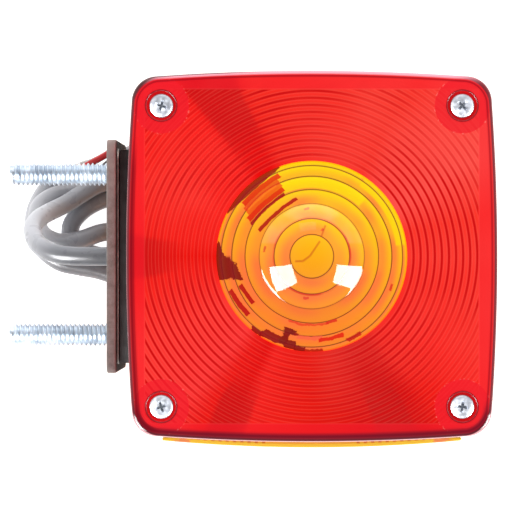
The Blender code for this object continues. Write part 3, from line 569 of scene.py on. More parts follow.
def bullseye_look():
    look = Look("bullseye_look", roughness=0.04)
    look.shader.inputs["Specular IOR Level"].default_value = 0.35
    x, y = look.position()[:2]
    radius = look.radius()
    turns = look.azimuth()
    # Yellow at the upper right, amber round the rest, pinkish at the bottom
    slant = look.add(look.mul(x, 0.35), y)
    color = look.tones(
        look.step(slant, -24 * MM, 24 * MM),
        (0.0, (255, 138, 36)),
        (0.3, (255, 160, 26)),
        (0.55, (255, 176, 18)),
        (0.8, (255, 192, 10)),
        (1.0, (255, 212, 6)),
    )
    # Each ring is a step, pink at its inner side and yellow at its outer side
    edges = (0.0, *AMBER_RINGS, BULLSEYE_RADIUS)
    for inner, outer in zip(edges[1:], edges[2:]):
        pink_end = inner + 0.2 * (outer - inner)
        tint = look.mul(look.step(radius, inner, inner + 0.02 * MM), look.fall(radius, pink_end, outer))
        wave = look.step(look.noise(70, 1), 0.35, 0.65, 0.35, 1.0)
        color = look.paint(color, look.mul(tint, wave), (255, 116, 58), 0.9)
    for start, end, low, high, soft_turns, soft, tone, strength in BRIGHT_PATCHES:
        patch = look.mul(
            look.band(turns, start, end, soft_turns), look.band(radius, low * MM, high * MM, soft * MM)
        )
        color = look.paint(color, patch, tone, strength)
    for ring, dark in zip(AMBER_RINGS, AMBER_RING_DARKNESS):
        line = look.band(radius, ring - 0.17 * MM, ring + 0.17 * MM, 0.12 * MM)
        color = look.paint(color, line, (130, 58, 18), dark)
    ragged_turns = look.add(turns, look.mul(look.sub(look.noise(260, 3, 0.7), 0.5), 0.03))
    ragged_radius = look.add(radius, look.mul(look.sub(look.noise(420, 3, 0.7), 0.5), 1.3 * MM))
    for start, end, low, high, tone, strength in RING_PATCHES:
        patch = look.mul(
            look.band(ragged_turns, start, end, 0.0015),
            look.band(ragged_radius, low * MM, high * MM, PATCH_SOFTNESS),
        )
        color = look.paint(color, patch, tone, strength)
    ragged = look.mul(look.sub(look.noise(420, 3, 0.7), 0.5), 1.1 * MM)
    for turn, start, end, low, high, tone, strength in CHORD_PATCHES:
        cos, sin = math.cos(2 * math.pi * turn), math.sin(2 * math.pi * turn)
        along = look.add(look.add(look.mul(x, cos), look.mul(y, sin)), ragged)
        across = look.add(look.sub(look.mul(y, cos), look.mul(x, sin)), look.mul(ragged, 0.6))
        if high < 25:
            across = look.add(across, look.mul(look.mul(along, along), 12.0))
        patch = look.mul(
            look.band(along, start * MM, end * MM, PATCH_SOFTNESS),
            look.band(across, low * MM, high * MM, PATCH_SOFTNESS),
        )
        color = look.paint(color, patch, tone, strength)
    # The dark mouth of the housing, cut off by a slanting line on the left
    across = look.sub(look.mul(x, -0.872), look.mul(y, 0.488))
    mouth = look.mul(
        look.step(look.add(across, look.mul(ragged, 2.6)), 19.0 * MM, 19.4 * MM),
        look.band(look.add(y, look.mul(ragged, 2.5)), -6.4 * MM, 5.4 * MM, 0.15 * MM),
    )
    # A sliver of amber along its upper side
    sliver = look.mul(
        look.step(look.add(across, look.mul(ragged, 2.0)), 20.4 * MM, 20.2 * MM),
        look.step(y, -0.6 * MM, 0.4 * MM),
    )
    mouth = look.mul(mouth, look.sub(1.0, sliver))
    color = look.paint(color, mouth, (134, 0, 12), 0.95)
    inner_red = look.band(radius, 10.2 * MM, 10.7 * MM, 0.15 * MM)
    inner_red = look.mul(inner_red, look.step(look.noise(120, 1), 0.35, 0.6, 0.2, 0.8))
    color = look.paint(color, inner_red, (214, 40, 20))
    for (ax, ay), (bx, by) in LEAD_STROKES:
        length = math.hypot(bx - ax, by - ay)
        dx, dy = (bx - ax) / length, (by - ay) / length
        along = look.add(look.mul(look.sub(x, ax * MM), dx), look.mul(look.sub(y, ay * MM), dy))
        away = look.sub(look.mul(look.sub(y, ay * MM), dx), look.mul(look.sub(x, ax * MM), dy))
        stroke = look.mul(
            look.fall(look.abs(away), 0.12 * MM, 0.42 * MM),
            look.band(along, 0.0, length * MM, 0.2 * MM),
        )
        color = look.paint(color, stroke, (190, 78, 22), 0.6)
    # A pale painted reflection on the upper side of the dome
    dome_reflection = look.mul(
        look.band(radius, 10.4 * MM, 14.1 * MM, 0.15 * MM),
        look.step(y, 3.0 * MM, 4.2 * MM),
        look.step(look.noise(150, 1), 0.3, 0.6, 0.3, 1.0),
    )
    color = look.paint(color, dome_reflection, (255, 200, 190), 0.12)
    look.color(color, glow=0.44)
    return look.material


def amber_base(name):
    look = Look(name, roughness=0.09)
    tones = ((0.3, (255, 150, 22)), (0.5, (255, 172, 26)), (0.7, (255, 190, 40)))
    return look, look.tones(look.noise(35, 3), *tones)


def amber_lens_look():
    look, color = amber_base("amber_lens_look")
    line = look.step(look.ring_phase(look.radius()), 0.36, 0.5)
    zone = look.ring_zone((15.0 * MM, 15.6 * MM))[0]
    color = look.paint(color, look.mul(line, zone), (206, 92, 12), 0.7)
    rim = look.fall(look.edge_distance(), 0.4 * MM, 1.5 * MM)
    color = look.paint(color, rim, (190, 84, 14), 0.6)
    look.color(color, glow=0.45)
    return look.material


def side_lens_look():
    look, color = amber_base("side_lens_look")
    x, y, z = look.position()[:3]
    low, high = (corner[2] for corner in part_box("side_lens"))
    middle, reach = (low + high) / 2, (high - low) / 2
    across = look.abs(x)
    ends = look.band(across, 12.2 * MM, 33 * MM, 0.3 * MM)
    # The broad face: prism ribs at both ends, cells between them, and a line along both long sides
    rib = look.abs(look.sub(look.fract(look.mul(x, 1 / (SIDE_RIB_PITCH_MM * MM))), 0.5))
    color = look.paint(color, look.mul(look.step(rib, 0.2, 0.45), ends), (190, 80, 8), 0.6)
    window = look.mul(look.step(look.cells(420), 0.1, 0.6), look.step(across, 12.2 * MM, 11.6 * MM))
    color = look.paint(color, window, (214, 100, 12), 0.45)
    line = look.band(look.abs(look.sub(z, middle)), reach - 3.4 * MM, reach - 2.8 * MM, 0.15 * MM)
    color = look.paint(color, line, (170, 70, 8), 0.7)
    # The edge that faces the viewer: yellow outside, orange inside with dashes, and painted highlights at the
    # tips, broken up by noise
    outer = look.math("MULTIPLY_ADD", look.mul(x, x), SIDE_LENS_CURVE, SIDE_LENS_OUTER)
    inner = look.step(look.sub(y, outer), 0.7 * MM, 1.2 * MM)
    edge = look.mix(inner, srgb(253, 206, 62), srgb(250, 168, 56))
    dashes = look.band(look.fract(look.mul(x, 1 / (2 * MM))), 0.15, 0.6, 0.08)
    edge = look.paint(edge, look.mul(look.mul(dashes, inner), look.mul(ends, 0.7)), (176, 70, 20))
    tip_highlights = look.mul(look.step(across, 33 * MM, 34 * MM), look.step(look.noise(240, 2), 0.45, 0.6))
    edge = look.paint(edge, tip_highlights, (246, 150, 90))
    color = look.mix(look.step(z, high - 1.1 * MM, high - 0.4 * MM), color, edge)
    look.color(color, glow=0.45)
    return look.material


def housing_look():
    look = Look("housing_look", roughness=0.42)
    tone = look.tones(look.noise(140, 4), (0.3, (24, 10, 9)), (0.7, (36, 19, 17)))
    worn = look.step(look.noise(500, 4, 0.7), 0.62, 0.75)
    look.color(look.paint(tone, worn, (90, 74, 68), 0.15))
    look.shader.inputs["Specular IOR Level"].default_value = 0.3
    look.bump(look.noise(2400, 3), 0.00006, 0.5)
    look.roughness(300, 3, 0.34, 0.5)
    return look.material


def pad_look():
    look = Look("pad_look", roughness=0.85, ior=1.45)
    tones = ((0.3, (130, 117, 110)), (0.5, (150, 138, 131)), (0.7, (165, 154, 147)))
    color = look.tones(look.noise(420, 5, 0.65), *tones)
    holes = look.fall(look.cells(2600), 0.05, 0.3)
    color = look.paint(color, holes, (96, 84, 78), 0.35)
    y = look.position()[1]
    color = look.paint(color, look.step(y, 6 * MM, 30 * MM, 0.0, 0.35), (190, 180, 174))
    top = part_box("mounting_pad")[1][1] - CENTRE.y
    color = look.paint(color, look.step(y, top - 0.25 * MM, top, 0.0, 0.8), (226, 226, 222))
    look.color(color)
    look.bump(look.sub(look.noise(1500, 4), holes), 0.00015, 0.6)
    return look.material


def zinc_look(
    name, light=(206, 216, 226), dark=(180, 190, 202), roughness=0.32, glow=0.1, recess=False, axis=None
):
    """Bright zinc, with painted shade in a cross recess, or painted shade in the thread roots about an axis.
    """
    look = Look(name, roughness=roughness, metallic=1.0)
    tone = look.tones(look.noise(300, 2), (0.3, dark), (0.55, light), (0.8, (232, 238, 246)))
    if recess:
        # Painted shade in the cross recess
        depth = look.abs(look.sub(look.position()[2], MID))
        low = look.fall(depth, FRONT - MID - 1.3 * MM, FRONT - MID - 0.7 * MM)
        tone = look.paint(tone, low, (92, 98, 106), 0.75)
    if axis:
        # Painted shade in the thread roots
        from_axis = look.hypot(*look.position(axis)[1:3])
        root = look.mul(look.step(from_axis, 3.05 * MM, 2.6 * MM), look.step(from_axis, 2.1 * MM, 2.3 * MM))
        tone = look.paint(tone, root, (84, 94, 104), 0.75)
    look.color(tone, glow=glow)
    look.roughness(900, 3, roughness - 0.05, roughness + 0.12)
    look.bump(look.noise(3200, 3), 0.000004, 0.1)
    return look.material


def vinyl_look(name, tone, roughness=0.38, spread=10, lit_bend=False):
    look = Look(name, roughness=roughness, ior=1.5)
    low = [max(0, v - spread) for v in tone]
    high = [min(255, v + spread) for v in tone]
    color = look.tones(look.noise(180, 4), (0.3, low), (0.7, high))
    # Painted light: paler towards the outer bend on the left, which faces the bright room
    if lit_bend:
        x, y = look.position()[:2]
        bend = look.step(look.add(x, look.mul(look.abs(look.sub(y, 8 * MM)), 0.35)), -67 * MM, -81 * MM)
        color = look.paint(color, bend, (240, 240, 244), 0.7)
    look.color(color)
    look.roughness(300, 1, roughness - 0.04, roughness + 0.04)
    return look.material


def rubber_look(name, tone=(26, 26, 27)):
    look = Look(name, roughness=0.7)
    low, high = [v - 6 for v in tone], [v + 8 for v in tone]
    look.color(look.tones(look.noise(400, 4), (0.3, low), (0.7, high)))
    look.bump(look.noise(2600, 3), 0.00005, 0.5)
    return look.material


def metal_look(name, light, dark, roughness):
    look = Look(name, roughness=roughness, metallic=1.0)
    look.color(look.tones(look.noise(350, 4, 0.6), (0.3, dark), (0.7, light)))
    look.roughness(600, 3, roughness - 0.06, roughness + 0.12)
    look.bump(look.noise(2800, 2, stretch=(1, 0.2, 1)), 0.00003, 0.4)
    return look.material


def glass_look():
    look = Look("bulb_glass_look", roughness=0.02, ior=1.5)
    look.color(look.ramp(look.noise(40, 2), [(0.3, (0.94, 0.97, 0.98)), (0.7, (1.0, 1.0, 1.0))]))
    look.shader.inputs["Transmission Weight"].default_value = 1.0
    return look.material


def board_look():
    look = Look("contact_board_look", roughness=0.6)
    fibre = look.noise(900, 4, stretch=(0.2, 1, 1))
    look.color(look.tones(fibre, (0.3, (104, 62, 34)), (0.7, (134, 84, 48))))
    return look.material


# Geometry


def mesh_object(name, points, faces, material=None, smooth_angle=35):
    mesh = bpy.data.meshes.new(name)
    mesh.from_pydata([tuple(p) for p in points], [], faces)
    mesh.update()
    obj = link(bpy.data.objects.new(name, mesh))
    if material:
        mesh.materials.append(material)
    if smooth_angle:
        smooth(obj, smooth_angle)
    return obj


def wear(mesh, look):
    mesh.materials.clear()
    mesh.materials.append(look)


def stand_in(piece, node):
    """Replaces a CAD node that stays with the lamp."""
    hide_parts(node)
    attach(piece, "root")


def smooth(obj, angle=35):
    obj.data.shade_smooth()
    obj.data.set_sharp_from_angle(angle=math.radians(angle))


def applied(obj):
    """Bakes the object's modifiers and place into its mesh."""
    graph = bpy.context.evaluated_depsgraph_get()
    mesh = bpy.data.meshes.new_from_object(obj.evaluated_get(graph))
    mesh.transform(obj.matrix_world)
    old = obj.data
    obj.modifiers.clear()
    obj.data = mesh
    obj.matrix_world.identity()
    if isinstance(old, bpy.types.Mesh) and old.users == 0:
        bpy.data.meshes.remove(old)
    return obj


def bevel(obj, width, segments, angle):
    modifier = obj.modifiers.new("bevel", "BEVEL")
    modifier.width = width
    modifier.segments = segments
    modifier.limit_method = "ANGLE"
    modifier.angle_limit = math.radians(angle)


def boolean(obj, tool, operation="DIFFERENCE"):
    modifier = obj.modifiers.new("cut", "BOOLEAN")
    modifier.operation = operation
    modifier.object = tool
    modifier.solver = "EXACT"
    bpy.context.view_layer.update()
    applied(obj)
    bpy.data.objects.remove(tool)


def prism(name, outline, low, high):
    """A closed prism along Z from low to high."""
    count = len(outline)
    points = [(x, y, low) for x, y in outline] + [(x, y, high) for x, y in outline]
    faces = [tuple(reversed(range(count))), tuple(range(count, 2 * count))]
    faces += [(i, (i + 1) % count, count + (i + 1) % count, count + i) for i in range(count)]
    return mesh_object(name, points, faces, smooth_angle=0)


def circle(radius, x=0.0, y=0.0, count=48):
    return [
        (x + radius * math.cos(2 * math.pi * i / count), y + radius * math.sin(2 * math.pi * i / count))
        for i in range(count)
    ]


def bowed_square(inset=0.0, side_points=20, corner_points=14):
    half = LENS_HALF - inset
    radius = LENS_RADIUS - inset
    straight = half - radius
    lean = math.atan(2 * LENS_BOW / straight)
    points = []
    for quarter in range(4):
        cos, sin = math.cos(math.pi / 2 * quarter), math.sin(math.pi / 2 * quarter)
        side = []
        for i in range(1, side_points + 1):
            along = 2 * i / (side_points + 1) - 1
            side.append((half + LENS_BOW * (1 - along**2), straight * along))
        for i in range(corner_points):
            angle = lean + (math.pi / 2 - 2 * lean) * i / (corner_points - 1)
            side.append((straight + radius * math.cos(angle), straight + radius * math.sin(angle)))
        points += [(x * cos - y * sin, x * sin + y * cos) for x, y in side]
    return points


def revolve(name, profile, material=None, segments=128, closed=False, smooth_angle=35):
    """A turned shape about Z from (radius, height) points, going down the outer side."""
    points = []
    rings = []
    for radius, height in profile:
        if radius < 1e-7:
            rings.append([len(points)] * segments)
            points.append((0, 0, height))
            continue
        rings.append(list(range(len(points), len(points) + segments)))
        for i in range(segments):
            angle = 2 * math.pi * i / segments
            points.append((radius * math.cos(angle), radius * math.sin(angle), height))
    pairs = list(zip(rings, rings[1:])) + ([(rings[-1], rings[0])] if closed else [])
    faces = []
    for upper, lower in pairs:
        for i in range(segments):
            j = (i + 1) % segments
            corners = [upper[i], lower[i], lower[j], upper[j]]
            face = [c for k, c in enumerate(corners) if c != corners[k - 1]]
            if len(face) > 2:
                faces.append(tuple(face))
    return mesh_object(name, points, faces, material, smooth_angle)


def place(obj, x=0.0, y=0.0, z=0.0):
    """Moves a mesh made about the lens centre line to its place in the lamp."""
    for vertex in obj.data.vertices:
        vertex.co += Vector((CENTRE.x + x, CENTRE.y + y, z))
    return obj


def screw_places():
    return [(x, y) for y in (SCREW_PATTERN, -SCREW_PATTERN) for x in (-SCREW_PATTERN, SCREW_PATTERN)]


def dome_arc(rim_radius, height, count=20):
    sphere = (rim_radius**2 + height**2) / (2 * height)
    opening = math.asin(rim_radius / sphere)
    steps = [opening * (1 - i / (count - 1)) for i in range(count)]
    return [(sphere * math.sin(a), sphere * math.cos(a) - sphere + height) for a in steps]


def roll_top(obj, radius):
    """Rounds the edge round the top face."""
    shape = bmesh.new()
    shape.from_mesh(obj.data)
    top = [e for e in shape.edges if all(v.co.z > -0.001 * MM for v in e.verts)]
    bmesh.ops.bevel(shape, geom=top, offset=radius, segments=6, profile=0.5, affect="EDGES")
    shape.to_mesh(obj.data)
    shape.free()


# Half the outlines of a screw recess and of the bullseye's rim past its radius, in millimetres
RECESS_OUTLINE = [(0, 1), (5.0, 1), (4.15, -0.05), (4.0, -0.3), (4.0, -3.0), (0, -3.0)]
BULLSEYE_RIM = [(-0.25, 0.0), (0, -0.25), (0, -2.5), (1.6, -2.5), (1.6, -4.0), (-1.5, -4.0), (-1.5, -2.2)]


def make_lens_shell(name, inner_rib):
    """A lens tray facing +Z with its face at zero: rolled rim, ribbed square, screw recesses."""
    shell = prism(name, bowed_square(), -LENS_SKIRT, 0.0)
    roll_top(shell, 1.3 * MM)
    boolean(shell, prism("pocket", bowed_square(2.2 * MM), -LENS_SKIRT - MM, -2.2 * MM))
    # Ribs: shallow grooves that follow rings round the centre, inside a square
    depth = 0.06 * MM
    profile = [(inner_rib - 0.6 * MM, 1.0 * MM), (66 * MM, 1.0 * MM)]
    outer = RING_START
    radii = []
    while outer < 65 * MM:
        radii.append(outer)
        outer += RING_PITCH
    first = RING_START
    while first - RING_PITCH > inner_rib:
        first -= RING_PITCH
        radii.insert(0, first)
    for groove in reversed(radii):
        profile += [
            (groove + 0.5 * MM, 0.01 * MM),
            (groove + 0.15 * MM, -depth),
            (groove - 0.15 * MM, -depth),
            (groove - 0.5 * MM, 0.01 * MM),
        ]
    profile.append((inner_rib - 0.6 * MM, 0.01 * MM))
    cutter = revolve("groove_cutter", profile, segments=160, closed=True, smooth_angle=0)
    corners = [(x * ZONE_HALF, y * ZONE_HALF) for x, y in ((1, 1), (-1, 1), (-1, -1), (1, -1))]
    boolean(cutter, prism("zone", corners, -MM, 2 * MM), "INTERSECT")
    for i, (x, y) in enumerate(screw_places()):
        boolean(cutter, prism(f"screw_pad_{i}", circle(7.6 * MM, x, y), -2 * MM, 3 * MM))
    boolean(shell, cutter)
    for i, (x, y) in enumerate(screw_places()):
        boolean(shell, prism(f"column_{i}", circle(6.0 * MM, x, y), -LENS_SKIRT, -1.1 * MM), "UNION")
        profile = [(r * MM, h * MM) for r, h in RECESS_OUTLINE]
        recess = revolve(f"recess_{i}", profile, segments=48, smooth_angle=0)
        for vertex in recess.data.vertices:
            vertex.co += Vector((x, y, 0))
        boolean(shell, recess)
        boolean(shell, prism(f"hole_{i}", circle(2.1 * MM, x, y, 24), -LENS_SKIRT - MM, 0))
    return shell


def flip(obj):
    """Turns a mesh over, about the X axis."""
    for vertex in obj.data.vertices:
        vertex.co.y *= -1
        vertex.co.z *= -1


def make_lenses():
    red = make_lens_shell("red_lens_shell", 27.0 * MM)
    boolean(red, prism("window", circle(BULLSEYE_RADIUS + 0.15 * MM, count=128), -5 * MM, MM))
    place(red, z=FRONT)
    smooth(red, 30)
    wear(red.data, red_lens_look())
    stand_in(red, "red_lens")

    outer = dome_arc(DOME_RADIUS, DOME_HEIGHT)
    profile = list(reversed(outer))[:-1]
    profile += [(DOME_RADIUS - 0.1 * MM, 0.12 * MM), (DOME_RADIUS + 0.25 * MM, 0.0)]
    for ring in AMBER_RINGS[3:]:
        profile += [
            (ring - 0.35 * MM, 0.0),
            (ring - 0.05 * MM, -0.16 * MM),
            (ring + 0.05 * MM, -0.16 * MM),
            (ring + 0.35 * MM, 0.0),
        ]
    profile += [(BULLSEYE_RADIUS + r * MM, h * MM) for r, h in BULLSEYE_RIM]
    profile += [(r, h - 2.2 * MM) for r, h in dome_arc(DOME_RADIUS - 1.5 * MM, DOME_HEIGHT - 1.0 * MM)]
    bullseye = revolve("bullseye_insert", profile, bullseye_look(), 160)
    place(bullseye, z=FRONT)
    stand_in(bullseye, "amber_bullseye")

    amber = make_lens_shell("amber_lens_shell", 15.5 * MM)
    boolean(amber, prism("dome_hole", circle(DOME_RADIUS - MM, count=128), -5 * MM, MM))
    profile = list(reversed(outer))[:-1]
    profile += [
        (DOME_RADIUS - 0.1 * MM, 0.12 * MM),
        (DOME_RADIUS + 0.25 * MM, 0.01 * MM),
        (DOME_RADIUS + 0.25 * MM, -1.6 * MM),
    ]
    profile += [(r, h - 2.0 * MM) for r, h in dome_arc(DOME_RADIUS - 2.0 * MM, DOME_HEIGHT - 1.0 * MM)]
    boolean(amber, revolve("rear_dome", profile, segments=128, smooth_angle=0), "UNION")
    flip(amber)
    place(amber, z=REAR)
    smooth(amber, 30)
    wear(amber.data, amber_lens_look())
    stand_in(amber, "amber_lens")


def make_side_lens():
    low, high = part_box("side_lens")
    count = 48
    half = (high[0] - low[0]) / 2
    base = high[1] - CENTRE.y
    outer = low[1] - CENTRE.y

    def bow(along):
        return SIDE_LENS_END + (outer - SIDE_LENS_END) * (1 - along**2)

    outline = [(half, base), (-half, base)]
    for i in range(count + 1):
        along = 2 * i / count - 1
        outline.append((half * along, bow(along)))
    lens = prism("side_lens_shell", outline, low[2], high[2])
    bevel(lens, 0.45 * MM, 3, 30)
    bpy.context.view_layer.update()
    applied(lens)
    # Fine ribs across both ends, and a plain window between them
    for side in (1, -1):
        for i in range(SIDE_RIBS):
            x = side * (SIDE_RIB_START_MM + SIDE_RIB_PITCH_MM * i) * MM
            y = bow(x / half)
            points = [(x - 0.45 * MM, y - 0.05 * MM), (x + 0.45 * MM, y - 0.05 * MM), (x, y + 0.28 * MM)]
            boolean(lens, prism("rib_cut", points, low[2] + 2.2 * MM, high[2] - 2.2 * MM))
    place(lens)
    smooth(lens, 30)
    wear(lens.data, side_lens_look())
    stand_in(lens, "side_lens")


# Half the outline of a lens screw, from the top of its head to its tip, in millimetres
SCREW_OUTLINE = [
    (0, 2.2), (1.2, 2.18), (2.2, 2.12), (2.8, 2.03), (3.1, 1.88), (3.24, 1.6),
    (3.25, 0.2), (3.1, 0.0), (1.75, 0.0), (1.75, -14.5), (0, -16.5),
]


def make_screws(look):
    for side, face, up in (("front", FRONT, 1), ("rear", REAR, -1)):
        for i, (x, y) in enumerate(screw_places(), 1):
            profile = [(r * MM, h * MM) for r, h in SCREW_OUTLINE]
            screw = revolve(f"{side}_lens_screw_{i}", profile, segments=48, smooth_angle=0)
            turn = 0.15 + 1.1 * i + (0.5 if up < 0 else 0)
            for k in range(2):
                boolean(screw, cross_cutter(turn + k * math.pi / 2))
            if up < 0:
                flip(screw)
            place(screw, x, y, face - up * 2.7 * MM)
            smooth(screw, 35)
            wear(screw.data, look)
            stand_in(screw, f"{side}_screw_{i}")


def cross_cutter(turn):
    """One arm of a cross recess: a blade that narrows downwards."""
    cos, sin = math.cos(turn), math.sin(turn)
    points = []
    for height, half_long, half_wide in ((0.75 * MM, 0.5 * MM, 0.2 * MM), (2.6 * MM, 1.95 * MM, 0.42 * MM)):
        for sx, sy in ((-1, -1), (1, -1), (1, 1), (-1, 1)):
            x, y = sx * half_long, sy * half_wide
            points.append((x * cos - y * sin, x * sin + y * cos, height))
    faces = [(3, 2, 1, 0), (4, 5, 6, 7), (0, 1, 5, 4), (1, 2, 6, 5), (2, 3, 7, 6), (3, 0, 4, 7)]
    return mesh_object("cross_cutter", points, faces, smooth_angle=0)


def make_studs():
    """Quarter-inch studs: a core with a head inside the foot, and a rolled thread wound round it."""
    pitch = 1.27 * MM
    major = 3.175 * MM
    core = 2.5 * MM
    foot = 2.35 * MM
    segments = 40
    # One turn of the thread, as (share of the pitch, radius)
    section = [(-0.56, foot), (-0.08, major), (0.08, major), (0.56, foot)]
    for index in (1, 2):
        low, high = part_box(f"stud_{index}")
        tip, root = low[0], high[0]
        shank_end = root - 4.4 * MM
        head = root - 4.0 * MM
        middle_y, middle_z = (low[1] + high[1]) / 2, (low[2] + high[2]) / 2
        profile = [
            (0, tip),
            (core - 0.35 * MM, tip),
            (core, tip + 0.35 * MM),
            (core, shank_end),
            (major, shank_end),
            (major, head),
            (5.6 * MM, head),
            (5.6 * MM, root - 0.8 * MM),
            (4.8 * MM, root),
            (0, root),
        ]
        points = []
        rings = []
        for radius, along in profile:
            count = 1 if radius == 0 else segments
            rings.append([len(points) + i % count for i in range(segments)])
            points += [around(along, radius, i / segments) for i in range(count)]
        faces = []
        for inner, outer in zip(rings, rings[1:]):
            for i in range(segments):
                corners = [inner[i], outer[i], outer[(i + 1) % segments], inner[(i + 1) % segments]]
                face = [c for k, c in enumerate(corners) if c != corners[k - 1]]
                faces.append(tuple(face))
        turns = (shank_end - tip - 0.7 * MM) / pitch
        steps = int(turns * segments)
        start = len(points)
        for i in range(steps + 1):
            taper = min(1.0, i / (segments * 0.7))
            middle = tip + 0.5 * MM + pitch * i / segments
            for across, radius in section:
                reach = foot + (radius - foot) * taper
                points.append(around(middle + across * pitch, reach, i / segments))
        for i in range(steps):
            a, b = start + 4 * i, start + 4 * i + 4
            faces += [(a + k, b + k, b + k + 1, a + k + 1) for k in range(3)]
            faces.append((a + 3, b + 3, b, a))
        faces.append(tuple(range(start + 3, start - 1, -1)))
        faces.append(tuple(start + 4 * steps + k for k in range(4)))
        look = zinc_look(f"stud_{index}_look", axis=(CENTRE.x, middle_y, middle_z))
        stud = mesh_object(f"threaded_stud_{index}", points, faces, look, 30)
        for vertex in stud.data.vertices:
            vertex.co += Vector((0, middle_y, middle_z))
        shape = bmesh.new()
        shape.from_mesh(stud.data)
        bmesh.ops.recalc_face_normals(shape, faces=shape.faces)
        shape.to_mesh(stud.data)
        shape.free()
        stand_in(stud, f"stud_{index}")


def around(along, radius, turns):
    """A point round the X axis."""
    return (along, radius * math.cos(2 * math.pi * turns), radius * math.sin(2 * math.pi * turns))


def rounded_copy(node, name, look, width, segments=3):
    """A copy of a CAD node with softened edges."""
    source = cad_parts[node]
    mesh = source.data.copy()
    shape = bmesh.new()
    shape.from_mesh(mesh)
    bmesh.ops.remove_doubles(shape, verts=shape.verts, dist=0.002 * MM)
    bmesh.ops.dissolve_limit(shape, angle_limit=math.radians(1), verts=shape.verts, edges=shape.edges)
    shape.to_mesh(mesh)
    shape.free()
    copy = link(bpy.data.objects.new(name, mesh))
    copy.matrix_world = source.matrix_world
    bevel(copy, width, segments, 40)
    bpy.context.view_layer.update()
    applied(copy)
    smooth(copy, 35)
    wear(copy.data, look)
    stand_in(copy, node)


def smooth_path(points, spacing, floor=None):
    """Points on a centripetal curve through the points."""
    p = [Vector(q) for q in points]
    p = [2 * p[0] - p[1], *p, 2 * p[-1] - p[-2]]
    fine = []
    for a, b, c, d in zip(p, p[1:], p[2:], p[3:]):
        knots = [0.0]
        for start, end in ((a, b), (b, c), (c, d)):
            knots.append(knots[-1] + max((end - start).length, 1e-9) ** 0.5)
        t0, t1, t2, t3 = knots
        count = max(1, round((c - b).length / spacing))
        for i in range(count):
            t = t1 + (t2 - t1) * i / count
            ab = a * ((t1 - t) / (t1 - t0)) + b * ((t - t0) / (t1 - t0))
            bc = b * ((t2 - t) / (t2 - t1)) + c * ((t - t1) / (t2 - t1))
            cd = c * ((t3 - t) / (t3 - t2)) + d * ((t - t2) / (t3 - t2))
            abc = ab * ((t2 - t) / (t2 - t0)) + bc * ((t - t0) / (t2 - t0))
            bcd = bc * ((t3 - t) / (t3 - t1)) + cd * ((t - t1) / (t3 - t1))
            fine.append(abc * ((t2 - t) / (t2 - t1)) + bcd * ((t - t1) / (t2 - t1)))
    fine.append(p[-2])
    if floor is not None:
        for q in fine:
            q.z = max(q.z, floor)
    return fine


def in_place(route):
    return [Vector((x, y, z)) * MM + CENTRE for x, y, z in route]


def wire(name, points, radius, look):
    curve = bpy.data.curves.new(name, "CURVE")
    curve.dimensions = "3D"
    curve.bevel_depth = radius
    curve.bevel_resolution = 8
    curve.use_fill_caps = True
    spline = curve.splines.new("POLY")
    spline.points.add(len(points) - 1)
    for point, co in zip(spline.points, points):
        point.co = (*co, 1)
    curve.materials.append(look)
    return link(bpy.data.objects.new(name, curve))


def make_cable():
    vinyl = vinyl_look("cable_look", (150, 151, 157), 0.3, 3, True)
    path = smooth_path(in_place(CABLE_ROUTE), 1.3 * MM, CABLE_RADIUS + 0.05 * MM)
    cable = wire("cable_jacket", path, CABLE_RADIUS, vinyl)
    stand_in(cable, "cable")
    tones = {"wire_red": (206, 32, 36), "wire_white": (226, 226, 222), "wire_black": (34, 34, 36)}
    copper = metal_look("copper_look", (214, 150, 110), (170, 104, 70), 0.32)
    for name, route in WIRE_ROUTES.items():
        look = vinyl_look(f"{name}_look", tones[name], 0.36)
        points = smooth_path(in_place(route), 1.0 * MM)
        bare = 3
        tail = wire(f"{name}_tail", points[:-bare], 0.9 * MM, look)
        strip = wire(f"{name}_strands", points[-bare - 1 :], 0.55 * MM, copper)
        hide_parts(name)
        for piece in (tail, strip):
            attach(piece, "root")


def make_flexing(node, look):
    """A fixed copy of a CAD spring or lead with the given look, in place of the CAD node, which is hidden."""
    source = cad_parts[node]
    piece = link(bpy.data.objects.new(f"{node}_flexing", source.data.copy()))
    piece.matrix_world = source.matrix_world
    wear(piece.data, look)
    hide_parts(node)
    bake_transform(piece)


def dress(nodes, look):
    for name in nodes:
        wear(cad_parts[name].data, look)


def floor_look():
    look = Look("floor_look", roughness=0.9)
    look.color(look.ramp(look.noise(6, 2), [(0.3, (0.9, 0.9, 0.9)), (0.7, (0.92, 0.92, 0.92))]), glow=1.0)
    return look.material


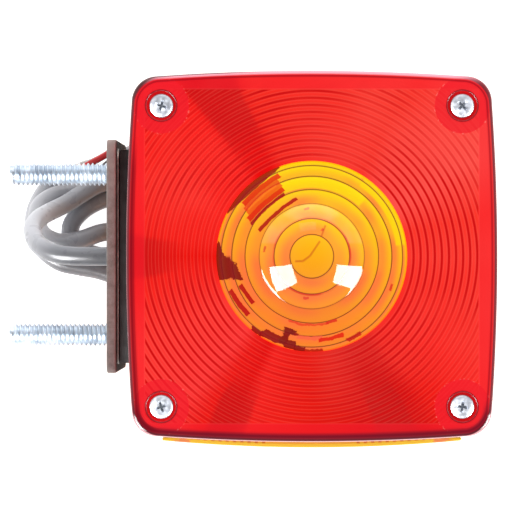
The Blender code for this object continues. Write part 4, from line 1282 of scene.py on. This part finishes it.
make_camera()
make_cable()
make_lenses()
make_side_lens()
zinc = zinc_look("zinc_look")
make_screws(zinc_look("screw_look", (214, 218, 226), (188, 192, 202), 0.34, 0.2, True))
make_studs()
rounded_copy("housing", "housing_shell", housing_look(), 0.5 * MM)
rounded_copy("mounting_pad", "pad_skin", pad_look(), 0.4 * MM)
steel = metal_look("plate_look", (168, 160, 152), (116, 108, 102), 0.4)
rounded_copy("base_plate", "base_plate_skin", steel, 0.12 * MM, 2)
dress(["front_lens_seal", "rear_lens_seal", "side_lens_seal", "cable_grommet"], rubber_look("seal_look"))
dress(["cable_inner_end"], vinyl_look("inner_cable_look", (188, 188, 194)))
make_flexing("lead_tail", vinyl_look("lead_tail_look", (34, 34, 36)))
make_flexing("lead_stop", vinyl_look("lead_stop_look", (196, 30, 34)))
dress(["lead_ground"], vinyl_look("lead_ground_look", (224, 224, 220)))
plated = metal_look("socket_look", (206, 202, 192), (168, 164, 156), 0.32)
make_flexing("contact_spring", plated)
dress(["lamp_socket", "socket_bracket", "bulb_support_1", "bulb_support_2", "bulb_support_3"], plated)
dress(["bracket_screw_1", "bracket_screw_2", "bulb_contact_1", "bulb_contact_2"], zinc)
dress(["filament_stop", "filament_tail"], metal_look("tungsten_look", (120, 120, 126), (84, 84, 90), 0.45))
brass = metal_look("brass_look", (222, 184, 108), (176, 136, 70), 0.28)
dress(["contact_button_1", "contact_button_2", "bulb_base"], brass)
dress(["contact_plate"], board_look())
dress(["bulb_insulator"], rubber_look("insulator_look", (20, 20, 24)))
dress(["bulb_glass", "bulb_stem"], glass_look())

make_floor(floor_look())
make_world()
make_softbox(
    "softbox_left",
    [(-0.922, -0.23, 0.312), (-0.516, -0.206, 0.831), (-0.351, -0.639, 0.685), (-0.693, -0.708, 0.131)],
    32.0,
)
make_softbox(
    "softbox_right",
    [(0.632, -0.202, 0.748), (0.98, -0.192, 0.05), (0.779, -0.621, 0.084), (0.5, -0.623, 0.602)],
    32.0,
)
make_area("key", (-0.1, 0.9, 0.9), (0.5, 0.3), 0.6)
bpy.context.scene.view_settings.view_transform = "Standard"
